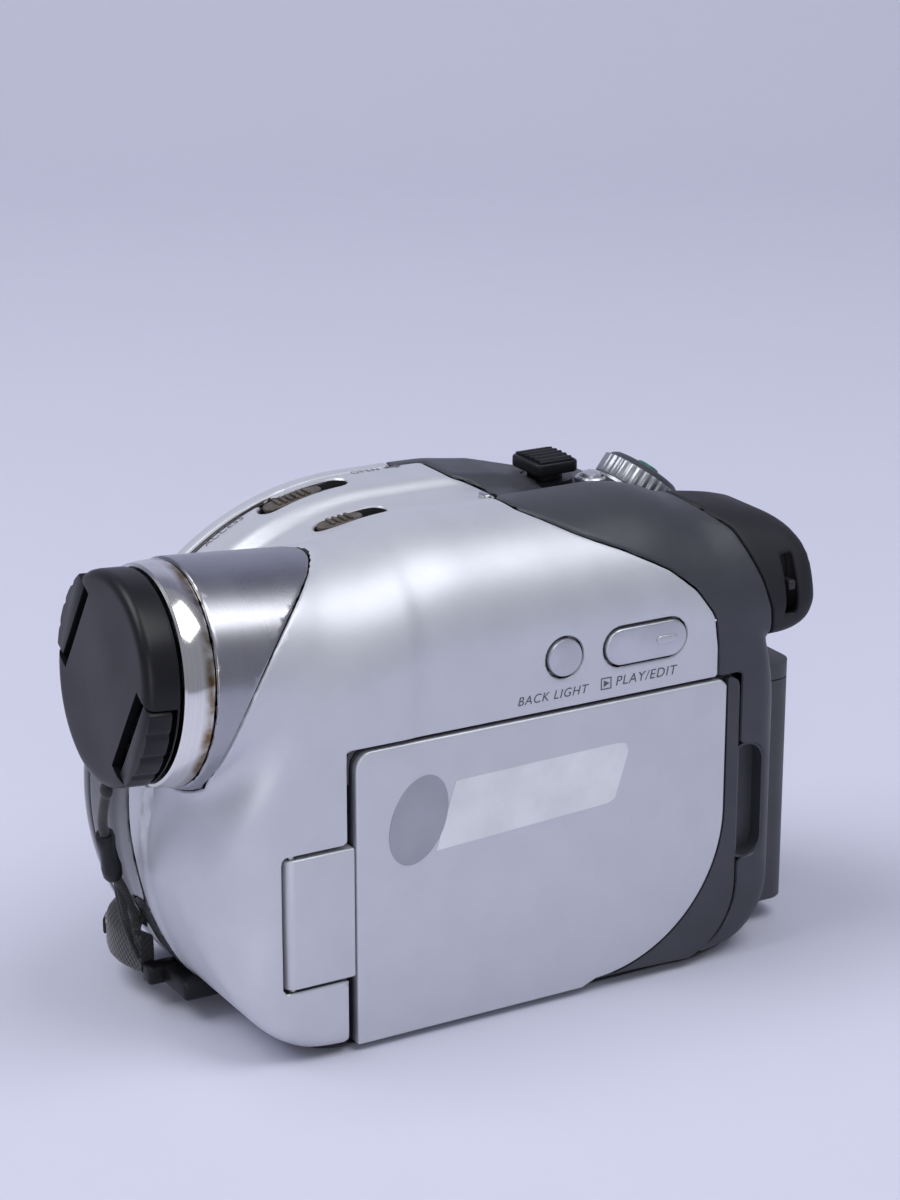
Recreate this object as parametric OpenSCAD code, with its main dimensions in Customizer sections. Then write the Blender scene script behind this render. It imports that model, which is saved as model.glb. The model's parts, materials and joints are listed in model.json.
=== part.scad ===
// Hand-held disc camcorder, built as separate pieces.
// The origin is the mouth of the tripod socket on the base.
// -Y is the way the lens looks, +X is the screen side, -X is the disc side.

/* [Body] */
// Height of the body above the base
body_h = 88.7; // [82:0.1:96]
// Distance from the tripod socket forward to the front of the casing
front_len = 57.6; // [54:0.1:66]
// Distance from the tripod socket back to the rear face
rear_len = 59; // [57:0.1:70]
// Distance from the socket to the screen-side wall
side_x = 27.3; // [26.5:0.1:31]
// Distance from the socket to the disc-side wall
disc_x = 27.5; // [26:0.1:31]
// Thickness of the casing walls
wall = 1.6; // [1.2:0.1:2]
// Radius of the round disc housing
drum_r = 51.7; // [49:0.1:53]
// Radius of the roll that runs back from the lens
roll_r = 20; // [19:0.1:21]
// Thickness of the bottom cover
base_t = 1.6; // [1.2:0.1:2]

/* [Lens] */
// Upward tilt of the lens axis
lens_pitch = 4.7; // [3:0.1:6]
// Sideways place of the lens axis
lens_x = 7.3; // [6:0.1:8]
// Height of the middle of the lens cap's face
lens_z = 69.2; // [67:0.1:71]
// Distance from the tripod socket forward to the cap's face
cap_face = 67.5; // [66:0.1:76]
// Depth of the lens cap
cap_depth = 6.4; // [6:0.1:7]
// Radius of the lens cap
cap_r = 18.5; // [18:0.1:19]
// Outer radius of the polished lens ring
ring_r = 19.35; // [19:0.05:19.8]
// Length of the polished lens ring
ring_len = 4.7; // [4.4:0.1:5]
// Wall radius of the filter thread in the lens ring
filter_r = 12.5; // [12:0.1:13.5]

/* [Screen] */
// Length of the screen panel
screen_len = 78.9; // [72:0.1:80]
// Height of the top edge of the screen panel
screen_top = 55.3; // [50:0.1:56]
// Thickness of the screen panel
screen_t = 8; // [7:0.1:8.5]
// Distance from the tripod socket forward to the front edge of the panel
screen_front = 30; // [28:0.1:31]
// Gap between the panel and the casing round it
screen_gap = 0.5; // [0.4:0.05:1]
// Radius of the hinge pin
hinge_pin_r = 0.8; // [0.6:0.05:0.9]
// Running clearance round pins and shafts
run_gap = 0.05; // [0.03:0.01:0.1]

/* [Disc drive] */
// Height of the spindle above the base
spindle_z = 44.5; // [43:0.1:46]
// Distance that the pickup travels
sled_travel = 17; // [12:0.5:18]
// Radius of the spindle shaft
spindle_r = 1; // [0.8:0.1:1.4]

/* [Battery] */
// Width of the battery pack
battery_w = 31.8; // [26:0.1:32]
// Depth of the battery pack
battery_d = 18.5; // [17:0.1:19]
// Height of the battery pack
battery_h = 47.6; // [40:0.1:48]
// Gap between the battery and its bay
battery_gap = 0.4; // [0.35:0.05:0.8]

/* [Controls] */
// Gap round each button
key_gap = 0.3; // [0.25:0.05:0.5]
// Travel of each push button
key_travel = 0.6; // [0.4:0.1:0.8]
// Radius of the mode dial
dial_r = 8.2; // [7:0.1:9]
// Wall radius of the tripod socket
socket_r = 3.175; // [3.1:0.005:3.3]
// Depth of the tripod socket
socket_len = 5.5; // [4.5:0.1:6]

/* [Hidden] */
$fn = 48;

drum_c = [drum_r - front_len, body_h - drum_r];
chin_r = 24;
rear_r = 22;
heel_r = 14;
cheek_r = 15;
rear_edge_r = 6;
rim_r = 8;
split_x = -8.3;
valley_z = body_h - 5.2;
lid_x = -20;
sleeve_arc = [-14, 49, 40];
panel_x = side_x - screen_t;
screen_rear = screen_len - screen_front;
pin_x = side_x - 1.5;
pin_y = -screen_front - 11.9;
block_z0 = 14.2;
block_z1 = 38.4;
battery_x1 = panel_x - 2.3;
battery_x0 = battery_x1 - battery_w;
battery_y0 = rear_len + 8.6 - battery_d;
battery_mid = (battery_x0 + battery_x1) / 2;
battery_z0 = 4;
battery_z1 = battery_z0 + battery_h;
spindle_y = drum_c[0];
key_z = 65.3;
back_key_y = 11.5;
back_key_r = 3.5;
play_key_y = 28.3;
play_key_len = 17;
play_key_h = 6.8;
cap_back = cap_depth;
// Turn of the clips about the cap's middle, and reach of the cap's plug into the ring
clip_turn = 28;
plug_len = 1.6;
ring_front = cap_back + 0.4;
sleeve_front = ring_front + ring_len;
sleeve_in_r = roll_r - 1.2;
dial_at = [-13, 51.5, 79.5];
dial_tilt = 38;
knuckle = [2.5 - disc_x, 2.8];
knuckle_y = [-16, 8];
sill_z = 2.4;
lid_low = 3.4;
jack_x = [-24.8, -16.9];
release_x = -20.9;
lever_at = [-15, 33];
photo_at = [-12.5, 41.7];
photo_r = 2;
eye_x = 12;
eye_z = 70.5;
eye_rear = 66.5;
eye_bore = 8.6;
rod_r = 0.75;
lens_rod_x = 9.2;
lens_screw_z = -9;
lens_bore = 11.2;
screw_r = 0.9;
sled_rod_r = 0.9;
sled_y = drum_c[0] + 15.3;
screw_spots = [[-5, -26], [-5, 34], [8, -26], [8, 34]];

// ---------- outlines ----------

function arc(c, r, a0, a1, n) =
    [for (i = [0:n]) let(a = a0 + (a1 - a0) * i / n) [c[0] + r * cos(a), c[1] + r * sin(a)]];

// The front and underside of the side view, from the heel round to the top.
function belly(t) = concat(
    arc([rear_len - heel_r, heel_r], heel_r - t, 0, -90, 5),
    arc([drum_c[0] - sqrt(pow(drum_r - chin_r, 2) - pow(drum_c[1] - chin_r, 2)), chin_r],
        chin_r - t, -90, -180 + asin((drum_c[1] - chin_r) / (drum_r - chin_r)), 6),
    arc(drum_c, drum_r - t, -180 + asin((drum_c[1] - chin_r) / (drum_r - chin_r)), -270, 22));

// Side view of the half that carries the lens and screen.
function side_hood(t) = concat(
    arc([rear_len - rear_r, body_h - rear_r], rear_r - t, 90, 0, 8), belly(t));

// Side view of the half that carries the disc, lower at its rear.
function side_drum(t) = concat(
    [[12, body_h - t], [22, body_h - 1.4 - t], [33, body_h - 4.6 - t]],
    arc([rear_len - rear_r, body_h - rear_r - 5], rear_r - t, 78, 0, 7), belly(t));

// Front view of the whole body.
function front_view(t) = concat(
    arc([side_x - 2.5, 2.5], 2.5 - t, -90, 0, 3),
    arc([side_x - roll_r, body_h - roll_r], roll_r - t, 0,
        180 - asin((valley_z - body_h + roll_r) / roll_r), 12),
    [[-10.5 - t, valley_z - t]],
    arc([-13.5, body_h - 3], 3 - t, 0, 90, 3),
    arc([rim_r - disc_x, body_h - rim_r], rim_r - t, 90, 180, 6),
    arc([4 - disc_x, 4], 4 - t, 180, 270, 4));

// Top view of the whole body.
function top_view(t) = concat(
    arc([side_x - cheek_r, cheek_r - front_len], cheek_r - t, -90, 0, 8),
    arc([side_x - rear_edge_r, rear_len - rear_edge_r], rear_edge_r - t, 0, 90, 5),
    arc([rear_edge_r - disc_x, rear_len - rear_edge_r], rear_edge_r - t, 90, 180, 5),
    arc([4 - disc_x, 4 - front_len], 4 - t, 180, 270, 4));

// Where the silver casing gives way to the dark rear cover, in side view.
seam_line = [[10.2, 100], [10.2, body_h], [13, 87.8], [19, 84.5], [27, 81.4], [34.6, 77.2],
    [39.6, 73], [43, 68], [44.2, 62], [44.2, 22], [35, 14], [35, -5]];

// ---------- helpers ----------

module block(p, q) translate(p) cube(q - p);
module rod_x(y, z, x0, x1, r) translate([x0, y, z]) rotate([0, 90, 0]) cylinder(r = r, h = x1 - x0);
module rod_y(x, z, y0, y1, r) translate([x, y0, z]) rotate([-90, 0, 0]) cylinder(r = r, h = y1 - y0);
module rod_z(x, y, z0, z1, r) translate([x, y, z0]) cylinder(r = r, h = z1 - z0);
module side_slab(x0, x1) translate([x0, 0, 0]) rotate([90, 0, 90]) linear_extrude(x1 - x0) children();
module front_slab(y0, y1) translate([0, y1, 0]) rotate([90, 0, 0]) linear_extrude(y1 - y0) children();
module lens_frame() translate([lens_x, -cap_face, lens_z]) rotate([-lens_pitch, 0, 0]) children();
module tube_y(y0, y1, r, bore) difference() {
    rod_y(0, 0, y0, y1, r);
    rod_y(0, 0, y0 - 1, y1 + 1, bore);
}
module pill(len, h) union() {
    square([len - h, h], center = true);
    for (s = [-1, 1]) translate([s * (len - h) / 2, 0]) circle(h / 2);
}

// ---------- body form ----------

module body_form(t) intersection() {
    union() {
        side_slab(split_x + t, side_x) polygon(side_hood(t));
        side_slab(-disc_x, split_x + t) polygon(side_drum(t));
    }
    front_slab(-front_len, rear_len) polygon(front_view(t));
    linear_extrude(body_h) polygon(top_view(t));
}
module barrel_form(r, from, to) lens_frame() rod_y(0, 0, from, to, r);
module skin() difference() {
    union() {
        body_form(0);
        barrel_form(roll_r, sleeve_front, 42);
    }
    body_form(wall);
    barrel_form(sleeve_in_r, -5, 44);
}
module sleeve_zone() difference() {
    lens_frame() tube_y(sleeve_front, 44, roll_r + 1, sleeve_in_r - 0.01);
    rod_x(sleeve_arc[0], sleeve_arc[1], -40, 40, sleeve_arc[2]);
    block([-40, -70, -5], [40, -sleeve_arc[2], 45]);
}

// Outline of the screen panel and of the opening that it closes.
module screen_outline(g) polygon(concat(
    arc([-screen_front + 3, screen_top - 3], 3 + g, 180, 90, 4),
    arc([screen_rear - 5, screen_top - 5], 5 + g, 90, 0, 5),
    arc([screen_rear - heel_r, heel_r + 1], heel_r + g, 0, -90, 6),
    [[-screen_front - g, 1 - g]]));
module hinge_outline(g) translate([pin_y - 1.7 - g, block_z0 - g])
    square([-screen_front - pin_y + 1.3 + g, block_z1 - block_z0 + 2 * g]);
module screen_opening() union() {
    side_slab(panel_x - 0.4, 40) union() {
        screen_outline(screen_gap);
        translate([-screen_front - screen_gap - 0.8, -5]) square([6, screen_top - 1]);
        translate([-screen_front, -5]) square([screen_len - heel_r, 9]);
    }
    side_slab(panel_x - 1, 40) hinge_outline(0.6);
}
module side_keys(g, x0, x1) {
    rod_x(back_key_y, key_z, x0, x1, back_key_r + g);
    side_slab(x0, x1) translate([play_key_y, key_z]) rotate(-1) union() {
        square([play_key_len - play_key_h, play_key_h + 2 * g], center = true);
        for (s = [-1, 1]) translate([s * (play_key_len - play_key_h) / 2, 0])
            circle(play_key_h / 2 + g);
    }
}
module open_slot(g) translate([-16.6, -16, 82]) rotate([12, 0, 0]) linear_extrude(10)
    rotate(90) pill(17 + 2 * g, 4.6 + 2 * g);
module night_slot(g) translate([-2.4, -14, 82]) linear_extrude(10)
    rotate(90) pill(13.5 + 2 * g, 4.6 + 2 * g);
module panel_zone(y1) front_slab(-70, y1) polygon([[lid_x, 58], [lid_x, -1], [22, -1], [-7, 46], [-9, 58]]);
module grille_zone(y1) front_slab(-70, y1) polygon([[-12, 21], [2, 22], [11, 13], [14, 8], [-2, 8]]);

module dial_frame() translate(dial_at) rotate([-dial_tilt, 0, 0]) children();
module dial_pocket() dial_frame() translate([0, 0, -2]) cylinder(r = dial_r + 0.4, h = 20);
module lever_pocket() rod_z(lever_at[0], lever_at[1], 60, 100, 5.6);
module lid_circle(g) translate(drum_c) circle(drum_r + g, $fn = 96);
// Room for the battery, with a rail left standing on each side wall.
module bay_space() difference() {
    block([battery_x0 - battery_gap, battery_y0 - battery_gap, -5],
        [battery_x1 + battery_gap, 90, battery_z1 + battery_gap]);
    for (x = [[battery_x0 - 1, battery_x0 + 0.6], [battery_x1 - 0.6, battery_x1 + 1]])
        block([x[0], battery_y0 + 5.3, base_t], [x[1], battery_y0 + 6.7, battery_z1 + 1]);
}
module hinge_pin_form(g) rod_z(pin_x, pin_y, block_z0 - 3.4 - g, block_z1 + 3.4 + g, hinge_pin_r + g);

// ---------- casing ----------

module left_casing() color("silver") difference() {
    intersection() {
        skin();
        side_slab(lid_x, 40) polygon(concat([[-90, -5], [-90, 100]], seam_line));
    }
    sleeve_zone();
    panel_zone(-35);
    translate([0, 0, -2]) cube([200, 200, 4 + 2 * base_t], center = true);
    screen_opening();
    side_keys(key_gap, 20, 40);
    open_slot(0);
    night_slot(0);
    lamp_strip(0.02, 3);
    hinge_pin_form(0.02);
}
module rear_cover() color("dimgray") difference() {
    union() {
        intersection() {
            skin();
            union() {
                difference() {
                    block([lid_x, -5, -5], [40, 100, 100]);
                    side_slab(-50, 50) polygon(concat([[-90, -5], [-90, 100]], seam_line));
                }
                // flank round the rear of the disc lid
                side_slab(-40, lid_x) difference() {
                    translate([4, -5]) square([100, 110]);
                    lid_circle(0.6);
                    // the lid's foot turns outward here
                    intersection() {
                        lid_circle(1.6);
                        square([100, 15]);
                    }
                }
            }
        }
        // walls of the battery bay
        intersection() {
            body_form(wall - 0.2);
            difference() {
                block([battery_x0 - battery_gap - 1.2, battery_y0 - battery_gap - 1.4, base_t],
                    [battery_x1 + battery_gap + 1.2, rear_len, battery_z1 + battery_gap + 1.2]);
                side_slab(panel_x - 2, 40) screen_outline(screen_gap + 1);
            }
        }
        // floor behind the finger scoop
        intersection() {
            body_form(wall - 0.2);
            block([22.2, screen_rear + 2.4, 16], [side_x, rear_len, 45]);
        }
    }
    // the base cover closes the underside, up to the corner behind the screen
    difference() {
        translate([0, 0, -2]) cube([200, 200, 4 + 2 * base_t], center = true);
        block([battery_x1 + battery_gap, screen_rear + 1.8, -3], [40, 100, 9]);
    }
    bay_space();
    screen_opening();
    // finger scoop
    side_slab(side_x - 3.4, 40) translate([screen_rear + 3, 30.5]) rotate(90) pill(22, 8.4);
    // bores and pockets of the controls
    lever_pocket();
    rod_z(photo_at[0], photo_at[1], 60, 100, photo_r + key_gap);
    dial_pocket();
    dial_frame() translate([0, 0, -9]) cylinder(r = 2.1, h = 20);
    rod_y(-19.5, 58, 50, rear_len + 11, 3.6 + key_gap);
    translate([release_x, rear_len + 11, 36]) rotate([90, 0, 0]) linear_extrude(20) pill(8, 4.8);
    // opening that the eyecup closes
    eyecup_zone(0);
    block([jack_x[0] - 0.3, rear_len - 5, 8], [jack_x[1] + 0.3, rear_len + 11, 27]);
}
module disc_deck() color("dimgray") difference() {
    intersection() {
        body_form(wall);
        side_slab(lid_x, lid_x + 1.4) circle(200);
    }
    block([-40, drum_c[0] + drum_r + 0.4, -5], [40, 100, 100]);
    dial_pocket();
    lever_pocket();
    rod_x(spindle_y, spindle_z, -40, 0, 9);
    block([-40, sled_y - 0.4, spindle_z - 13.6], [0, sled_y + 14.4 + sled_travel, spindle_z + 13.6]);
    translate([0, 0, -2]) cube([200, 200, 4 + 2 * base_t], center = true);
    panel_zone(-35);
}
module base_cover() color([0.1, 0.1, 0.11]) difference() {
    union() {
        intersection() {
            body_form(0);
            union() {
                block([-disc_x, -60, -1], [side_x, rear_len, base_t]);
                block([lid_x - 4.2, -60, -1], [lid_x, 30, sill_z]);
            }
        }
        // ears that hold the hinge pin of the disc lid
        for (y = [knuckle_y[0] - 3.8, knuckle_y[1] + 0.4]) intersection() {
            body_form(0);
            union() {
                rod_y(knuckle[0], knuckle[1], y, y + 3.4, 2);
                block([knuckle[0], y, 0.5], [lid_x, y + 3.4, knuckle[1] + 2]);
            }
        }
    }
    rod_y(knuckle[0], knuckle[1], -60, 60, 1);
    block([-40, knuckle_y[0] - 0.4, -1], [lid_x - 2.4, knuckle_y[1] + 0.4, 8]);
    screen_opening();
    block([panel_x - 2, -screen_front - 2.5, -1], [40, 100, 5]);
    block([battery_x0 - battery_gap, battery_y0 - battery_gap, -5], [battery_x1 + battery_gap, 90, 8]);
    rod_z(0, 0, -1, 5, 5.5);
    for (p = screw_spots) {
        rod_z(p[0], p[1], -1, 5, 0.9);
        rod_z(p[0], p[1], -1, 0.9, 2.1);
    }
}
module front_panel() color([0.05, 0.05, 0.06]) difference() {
    intersection() {
        difference() {
            body_form(0);
            body_form(wall);
            barrel_form(sleeve_in_r, -5, 44);
        }
        panel_zone(-35);
    }
    translate([0, 0, -2]) cube([200, 200, 4 + 2 * base_t], center = true);
    sleeve_zone();
    grille_zone(-35);
    strap_lug_form(0);
}
module mic_grille() color([0.12, 0.12, 0.13]) difference() {
    intersection() {
        body_form(0.2);
        grille_zone(-35);
    }
    body_form(wall - 0.2);
    for (i = [-3:3]) for (j = [-1:1])
        translate([3 + 1.6 * i, -60, 14 + 2.4 * j]) rotate([-90, 0, 0]) cylinder(r = 0.45, h = 20);
}
module barrel_sleeve() color([0.72, 0.72, 0.74]) difference() {
    lens_frame() tube_y(sleeve_front, 42, roll_r, sleeve_in_r);
    rod_x(sleeve_arc[0], sleeve_arc[1], -40, 40, sleeve_arc[2]);
    block([-40, -70, -5], [40, -sleeve_arc[2], 45]);
    // inboard of the roll the sleeve dives into the casing
    body_form(wall);
}
module lens_ring() color([0.85, 0.85, 0.86]) lens_frame() difference() {
    rod_y(0, 0, ring_front, sleeve_front, ring_r);
    rod_y(0, 0, ring_front - 1, ring_front + plug_len + 0.4, cap_r - 1.7);
    rod_y(0, 0, ring_front - 1, sleeve_front + 1, filter_r);
}
module main_frame() color([0.6, 0.62, 0.64]) difference() {
    intersection() {
        body_form(wall);
        union() {
            block([-11.8, -42, base_t], [-10.4, 43, 62]);
            block([-10.4, -32, base_t], [11, 40, base_t + 1.6]);
            rod_z(0, 0, base_t, 8.2, 7.2);
        }
    }
    rod_z(0, 0, -1, 20, 5.5);
    for (p = screw_spots) rod_z(p[0], p[1], -1, 12, 0.8);
    rod_x(spindle_y, spindle_z, -20, 0, 11);
}
module inner_panel() color([0.2, 0.2, 0.22]) difference() {
    intersection() {
        union() {
            body_form(wall);
            intersection() {
                body_form(0);
                block([panel_x - 2, -screen_front, -1], [side_x, 90, 12]);
            }
        }
        union() {
            side_slab(panel_x - 0.4 - 1.5, panel_x - 0.4) union() {
                screen_outline(screen_gap + 0.9);
                translate([-screen_front - 2.5, 0]) square([screen_len - heel_r, 40]);
                hinge_outline(1.5);
            }
            difference() {
                side_slab(panel_x - 0.4 - 1.5, side_x - wall) intersection() {
                    union() {
                        screen_outline(screen_gap + 0.9);
                        hinge_outline(1.5);
                    }
                    translate([-60, 4]) square([120, 80]);
                }
                side_slab(panel_x - 2, 40) union() {
                    screen_outline(screen_gap);
                    hinge_outline(0.6);
                    translate([-screen_front - screen_gap - 0.8, -5]) square([6, screen_top - 1]);
                }
            }
        }
    }
    side_slab(panel_x - 1, 40) hinge_outline(0.6);
    hinge_pin_form(run_gap);
    for (i = [0:4]) for (j = [0:4])
        rod_x(16 + 2 * i, 24 + 2 * j, panel_x - 4, panel_x + 4, 0.5);
}
// Underside lug at the front, which the cord of the cap is tied to.
module strap_lug_form(g) block([-9 - g, -51.5 - g, 1.7], [5 + g, -41.5 + g, 8 + g]);
module strap_lug() color([0.08, 0.08, 0.08]) difference() {
    union() {
        difference() {
            strap_lug_form(0);
            body_form(wall + 0.6);
        }
        block([-9.4, -54.4, 4], [-6, -47, 7.8]);
    }
    body_form(-0.02);
}
module lamp_strip(g, deep) intersection() {
    difference() {
        body_form(0);
        body_form(deep);
    }
    side_slab(lid_x, lid_x + 1.1 + g) polygon([[-41, 70 - g], [-21 + g, 80], [-21 + g, 95], [-41, 95]]);
}
module access_lamp() color([0.15, 0.12, 0.12]) lamp_strip(0, wall);

// ---------- lens cap ----------

module lens_cap() color([0.07, 0.07, 0.08]) lens_frame() difference() {
    union() {
        rod_y(0, 0, 0, cap_depth, cap_r);
        rod_y(0, 0, cap_depth - 0.1, ring_front + plug_len, cap_r - 2.1);
    }
    rod_y(0, 0, 1.4, 20, cap_r - 3.3);
    // side pockets for the two clips
    for (s = [-1, 1]) rotate([0, clip_turn, 0]) translate([s * (cap_r - 2), 0, 0])
        translate([-5, -1, -8.6]) cube([10, cap_depth - 0.5, 17.2]);
    // hole for the cord
    translate([-2.8, cap_depth - 3, -cap_r - 1]) cylinder(r = 0.8, h = 3);
}
module cap_clip(s) color([0.1, 0.1, 0.11]) lens_frame() rotate([0, clip_turn, 0]) difference() {
    union() {
        intersection() {
            rod_y(0, 0, 0.3, cap_depth - 1.8, cap_r + 0.35);
            translate([s * (cap_r - 2.4), 2, 0]) cube([5.2, 10, 16.6], center = true);
        }
        translate([s * (cap_r - 6.2) - 2.6, 1.7, -3]) cube([5.2, 1.4, 6]);
    }
    for (j = [-2:2]) translate([s * (cap_r + 0.5), 2, 2.4 * j]) rotate([90, 0, 0])
        cylinder(r = 0.5, h = 12, center = true);
}
module cap_clip_left() cap_clip(1);
module cap_clip_right() cap_clip(-1);
module cap_springs() color("gainsboro") lens_frame() rotate([0, clip_turn, 0]) for (s = [-1, 1])
    translate([s * 6.2, 2.5, 0]) rotate([0, 90, 0])
        for (k = [-2:2]) translate([0, 0, k * 0.75]) rotate_extrude() translate([0.8, 0]) circle(r = 0.2, $fn = 16);

// Route of the cap's cord, from the cap down to the lug.
cord_r = 0.9;
cord_route = [[4.5, -65.6, 50.3], [4.1, -65.7, 47.8], [2.7, -65.5, 45.2], [0.6, -65, 42.2], [-1.5, -64.2, 39],
    [-3, -63.2, 36], [-4.2, -62.4, 33], [-5.2, -61.4, 30], [-6, -60.2, 27], [-6.8, -58.8, 24.4],
    [-7.8, -57.6, 22], [-8.8, -56.5, 19.6], [-9.8, -55.4, 17.4], [-10.6, -54.7, 15.4], [-11.2, -54.3, 13.4]];
function unit(v) = v / norm(v);
function tangent(p, i) = unit(p[min(i + 1, len(p) - 1)] - p[max(i - 1, 0)]);
module swept(p, r, n) {
    rings = [for (i = [0:len(p) - 1])
        let(t = tangent(p, i), u = unit(cross(t, [0, 1, 0])), v = cross(t, u))
        for (k = [0:n - 1]) p[i] + r * (cos(360 * k / n) * u + sin(360 * k / n) * v)];
    last = (len(p) - 1) * n;
    polyhedron(rings, concat(
        [[for (k = [0:n - 1]) k]],
        [for (i = [0:len(p) - 2]) for (k = [0:n - 1])
            [i * n + k, (i + 1) * n + k, (i + 1) * n + (k + 1) % n, i * n + (k + 1) % n]],
        [[for (k = [n - 1:-1:0]) last + k]]));
}
module cap_cord() color("black") swept(cord_route, cord_r, 8);
module cord_tab() color("black") translate([-4.1, -62.3, 33]) rotate([15.7, 20.1, 0]) difference() {
    cylinder(r = 2.1, h = 9.5, center = true);
    cylinder(r = 1.3, h = 12, center = true);
}

// ---------- screen ----------

module screen_cover() color("silver") side_slab(side_x - wall, side_x + 0.2) intersection() {
    screen_outline(0);
    screen_cover_outline(0);
}
module screen_bezel() color("dimgray") difference() {
    union() {
        side_slab(panel_x, side_x - wall) screen_outline(0);
        side_slab(side_x - wall, side_x) difference() {
            screen_outline(0);
            screen_cover_outline(0.15);
        }
    }
    side_slab(panel_x - 1, panel_x + 3.6) translate([-15.4, 8]) square([53.8, 41.1]);
    rod_y(side_x - 4.2, (block_z0 + block_z1) / 2, -40, -20, 2.2);
}
module screen_cover_outline(g) union() {
    translate([-100, 30.3]) square([146 + g, 100]);
    translate([18, 30.3]) circle(28 + g);
    translate([-100, -5]) square([118, 36]);
}
module lcd_module() color([0.3, 0.32, 0.34]) block([panel_x + 1.1, -15, 8.4], [panel_x + 3.5, 38, 48.7]);
module screen_glass() color([0.1, 0.12, 0.14]) block([panel_x + 0.2, -15, 8.4], [panel_x + 1, 38, 48.7]);
module hinge_block() color("silver") difference() {
    union() {
        translate([0, 0, block_z0]) linear_extrude(block_z1 - block_z0) union() {
            translate([pin_x, pin_y]) circle(1.7);
            polygon([[side_x + 0.2, pin_y], [side_x + 0.2, -screen_front - 0.3],
                [panel_x, -screen_front - 0.3], [panel_x, pin_y + 4.6], [pin_x - 1.2, pin_y - 1.2]]);
        }
    }
    rod_z(pin_x, pin_y, 0, 60, hinge_pin_r + run_gap);
    rod_y(side_x - 4.2, (block_z0 + block_z1) / 2, -35, -20, 2 + run_gap);
}
module hinge_pin() color("gainsboro") union() {
    hinge_pin_form(0);
    for (z = [block_z0 - 3.4, block_z1 + 1.6])
        block([pin_x - 4, pin_y - 3, z], [side_x - wall - 0.3, pin_y + 3, z + 1.8]);
}
module swivel_shaft() color("gainsboro") difference() {
    rod_y(side_x - 4.2, (block_z0 + block_z1) / 2, -34.9, -22, 2);
    rod_y(side_x - 4.2, (block_z0 + block_z1) / 2, -40, -10, 1);
}

// ---------- keys and switches ----------

module backlight_button() color([0.75, 0.75, 0.77]) union() {
    rod_x(back_key_y, key_z, side_x - 3, side_x + 0.4, back_key_r);
    rod_x(back_key_y, key_z, side_x - 3, side_x - 2.1, back_key_r + 0.8);
}
module play_button() color([0.75, 0.75, 0.77]) union() {
    side_slab(side_x - 3, side_x + 0.4) translate([play_key_y, key_z]) rotate(-1) pill(play_key_len, play_key_h);
    side_slab(side_x - 3, side_x - 2.1) translate([play_key_y, key_z]) rotate(-1)
        pill(play_key_len + 1.4, play_key_h + 1.4);
    side_slab(side_x, side_x + 0.7) translate([play_key_y + 4, key_z]) pill(4.4, 1.6);
}
module zoom_lever() color([0.1, 0.1, 0.11]) union() {
    rod_z(lever_at[0], lever_at[1], 81.6, 84.6, 5.3);
    rod_z(lever_at[0], lever_at[1], 84.5, 86, 3.4);
    translate([lever_at[0], lever_at[1], 85.9]) difference() {
        union() {
            translate([-5, -4.6, 0]) cube([10, 9.2, 2.4]);
            translate([-5, -3.6, 2.3]) cube([10, 7.2, 0.9]);
        }
        for (i = [-2:2]) rod_y(1.7 * i, 3.3, -10, 10, 0.45);
    }
}
module photo_button() color("silver") rod_z(photo_at[0], photo_at[1], 78.6, 84.8, photo_r);
module mode_dial() color([0.35, 0.35, 0.38]) dial_frame() difference() {
    union() {
        translate([0, 0, -1.6]) cylinder(r = dial_r, h = 5.2);
        translate([0, 0, 3.6]) cylinder(r1 = dial_r, r2 = dial_r - 1.6, h = 1.2, $fn = 48);
        translate([0, 0, -8.6]) cylinder(r = 2.1 - run_gap, h = 8);
    }
    translate([0, 0, 1.6]) cylinder(r = 2.7, h = 8);
    for (i = [0:23]) rotate(i * 15) translate([dial_r + 0.15, 0, 1.2]) cylinder(r = 0.5, h = 2.6, $fn = 16);
}
module dial_lock() color("seagreen") dial_frame() translate([0, 0, 2.7]) cylinder(r = 2.4, h = 2.9);
module record_button() color("silver") rod_y(-19.5, 58, rear_len - 4, rear_len + 0.8, 3.6);
module open_slider() color([0.3, 0.28, 0.26]) translate([-16.6, -16, 82]) rotate([12, 0, 0]) union() {
    translate([0, -2.2, 4.2]) linear_extrude(1) rotate(90) pill(12, 4);
    for (i = [-2:2]) translate([-1.6, -2.6 + 1.3 * i, 5.1]) cube([3.2, 0.6, 0.5]);
}
module night_switch() color([0.3, 0.28, 0.26]) translate([-2.4, -14, 82]) union() {
    translate([0, -2, 2.2]) linear_extrude(1) rotate(90) pill(9, 4);
    for (i = [-1:1]) translate([-1.6, -2 + 1.3 * i - 0.3, 3.1]) cube([3.2, 0.6, 0.6]);
}

// ---------- viewfinder ----------

// Rear view of the eyecup, flush with the roll on the screen side.
function eye_section() = concat(
    arc([side_x - 0.8 - 14, 85 - 14], 14, 0, 90, 8), arc([7, 76], 9, 90, 180, 6),
    arc([5.5, 66], 7.5, 180, 270, 6), arc([side_x - 0.8 - 8, 66.5], 8, 270, 360, 6));
// Side view of the eyecup, with its falling top and rounded rear.
function eye_side() = concat(
    [[40, 88.2], [47, 86.6], [57, 82.6]],
    arc([eye_rear - 8, 73.5], 8, 68, 0, 6), arc([eye_rear - 7, 66], 7, 0, -90, 6), [[40, 59]]);
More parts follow.
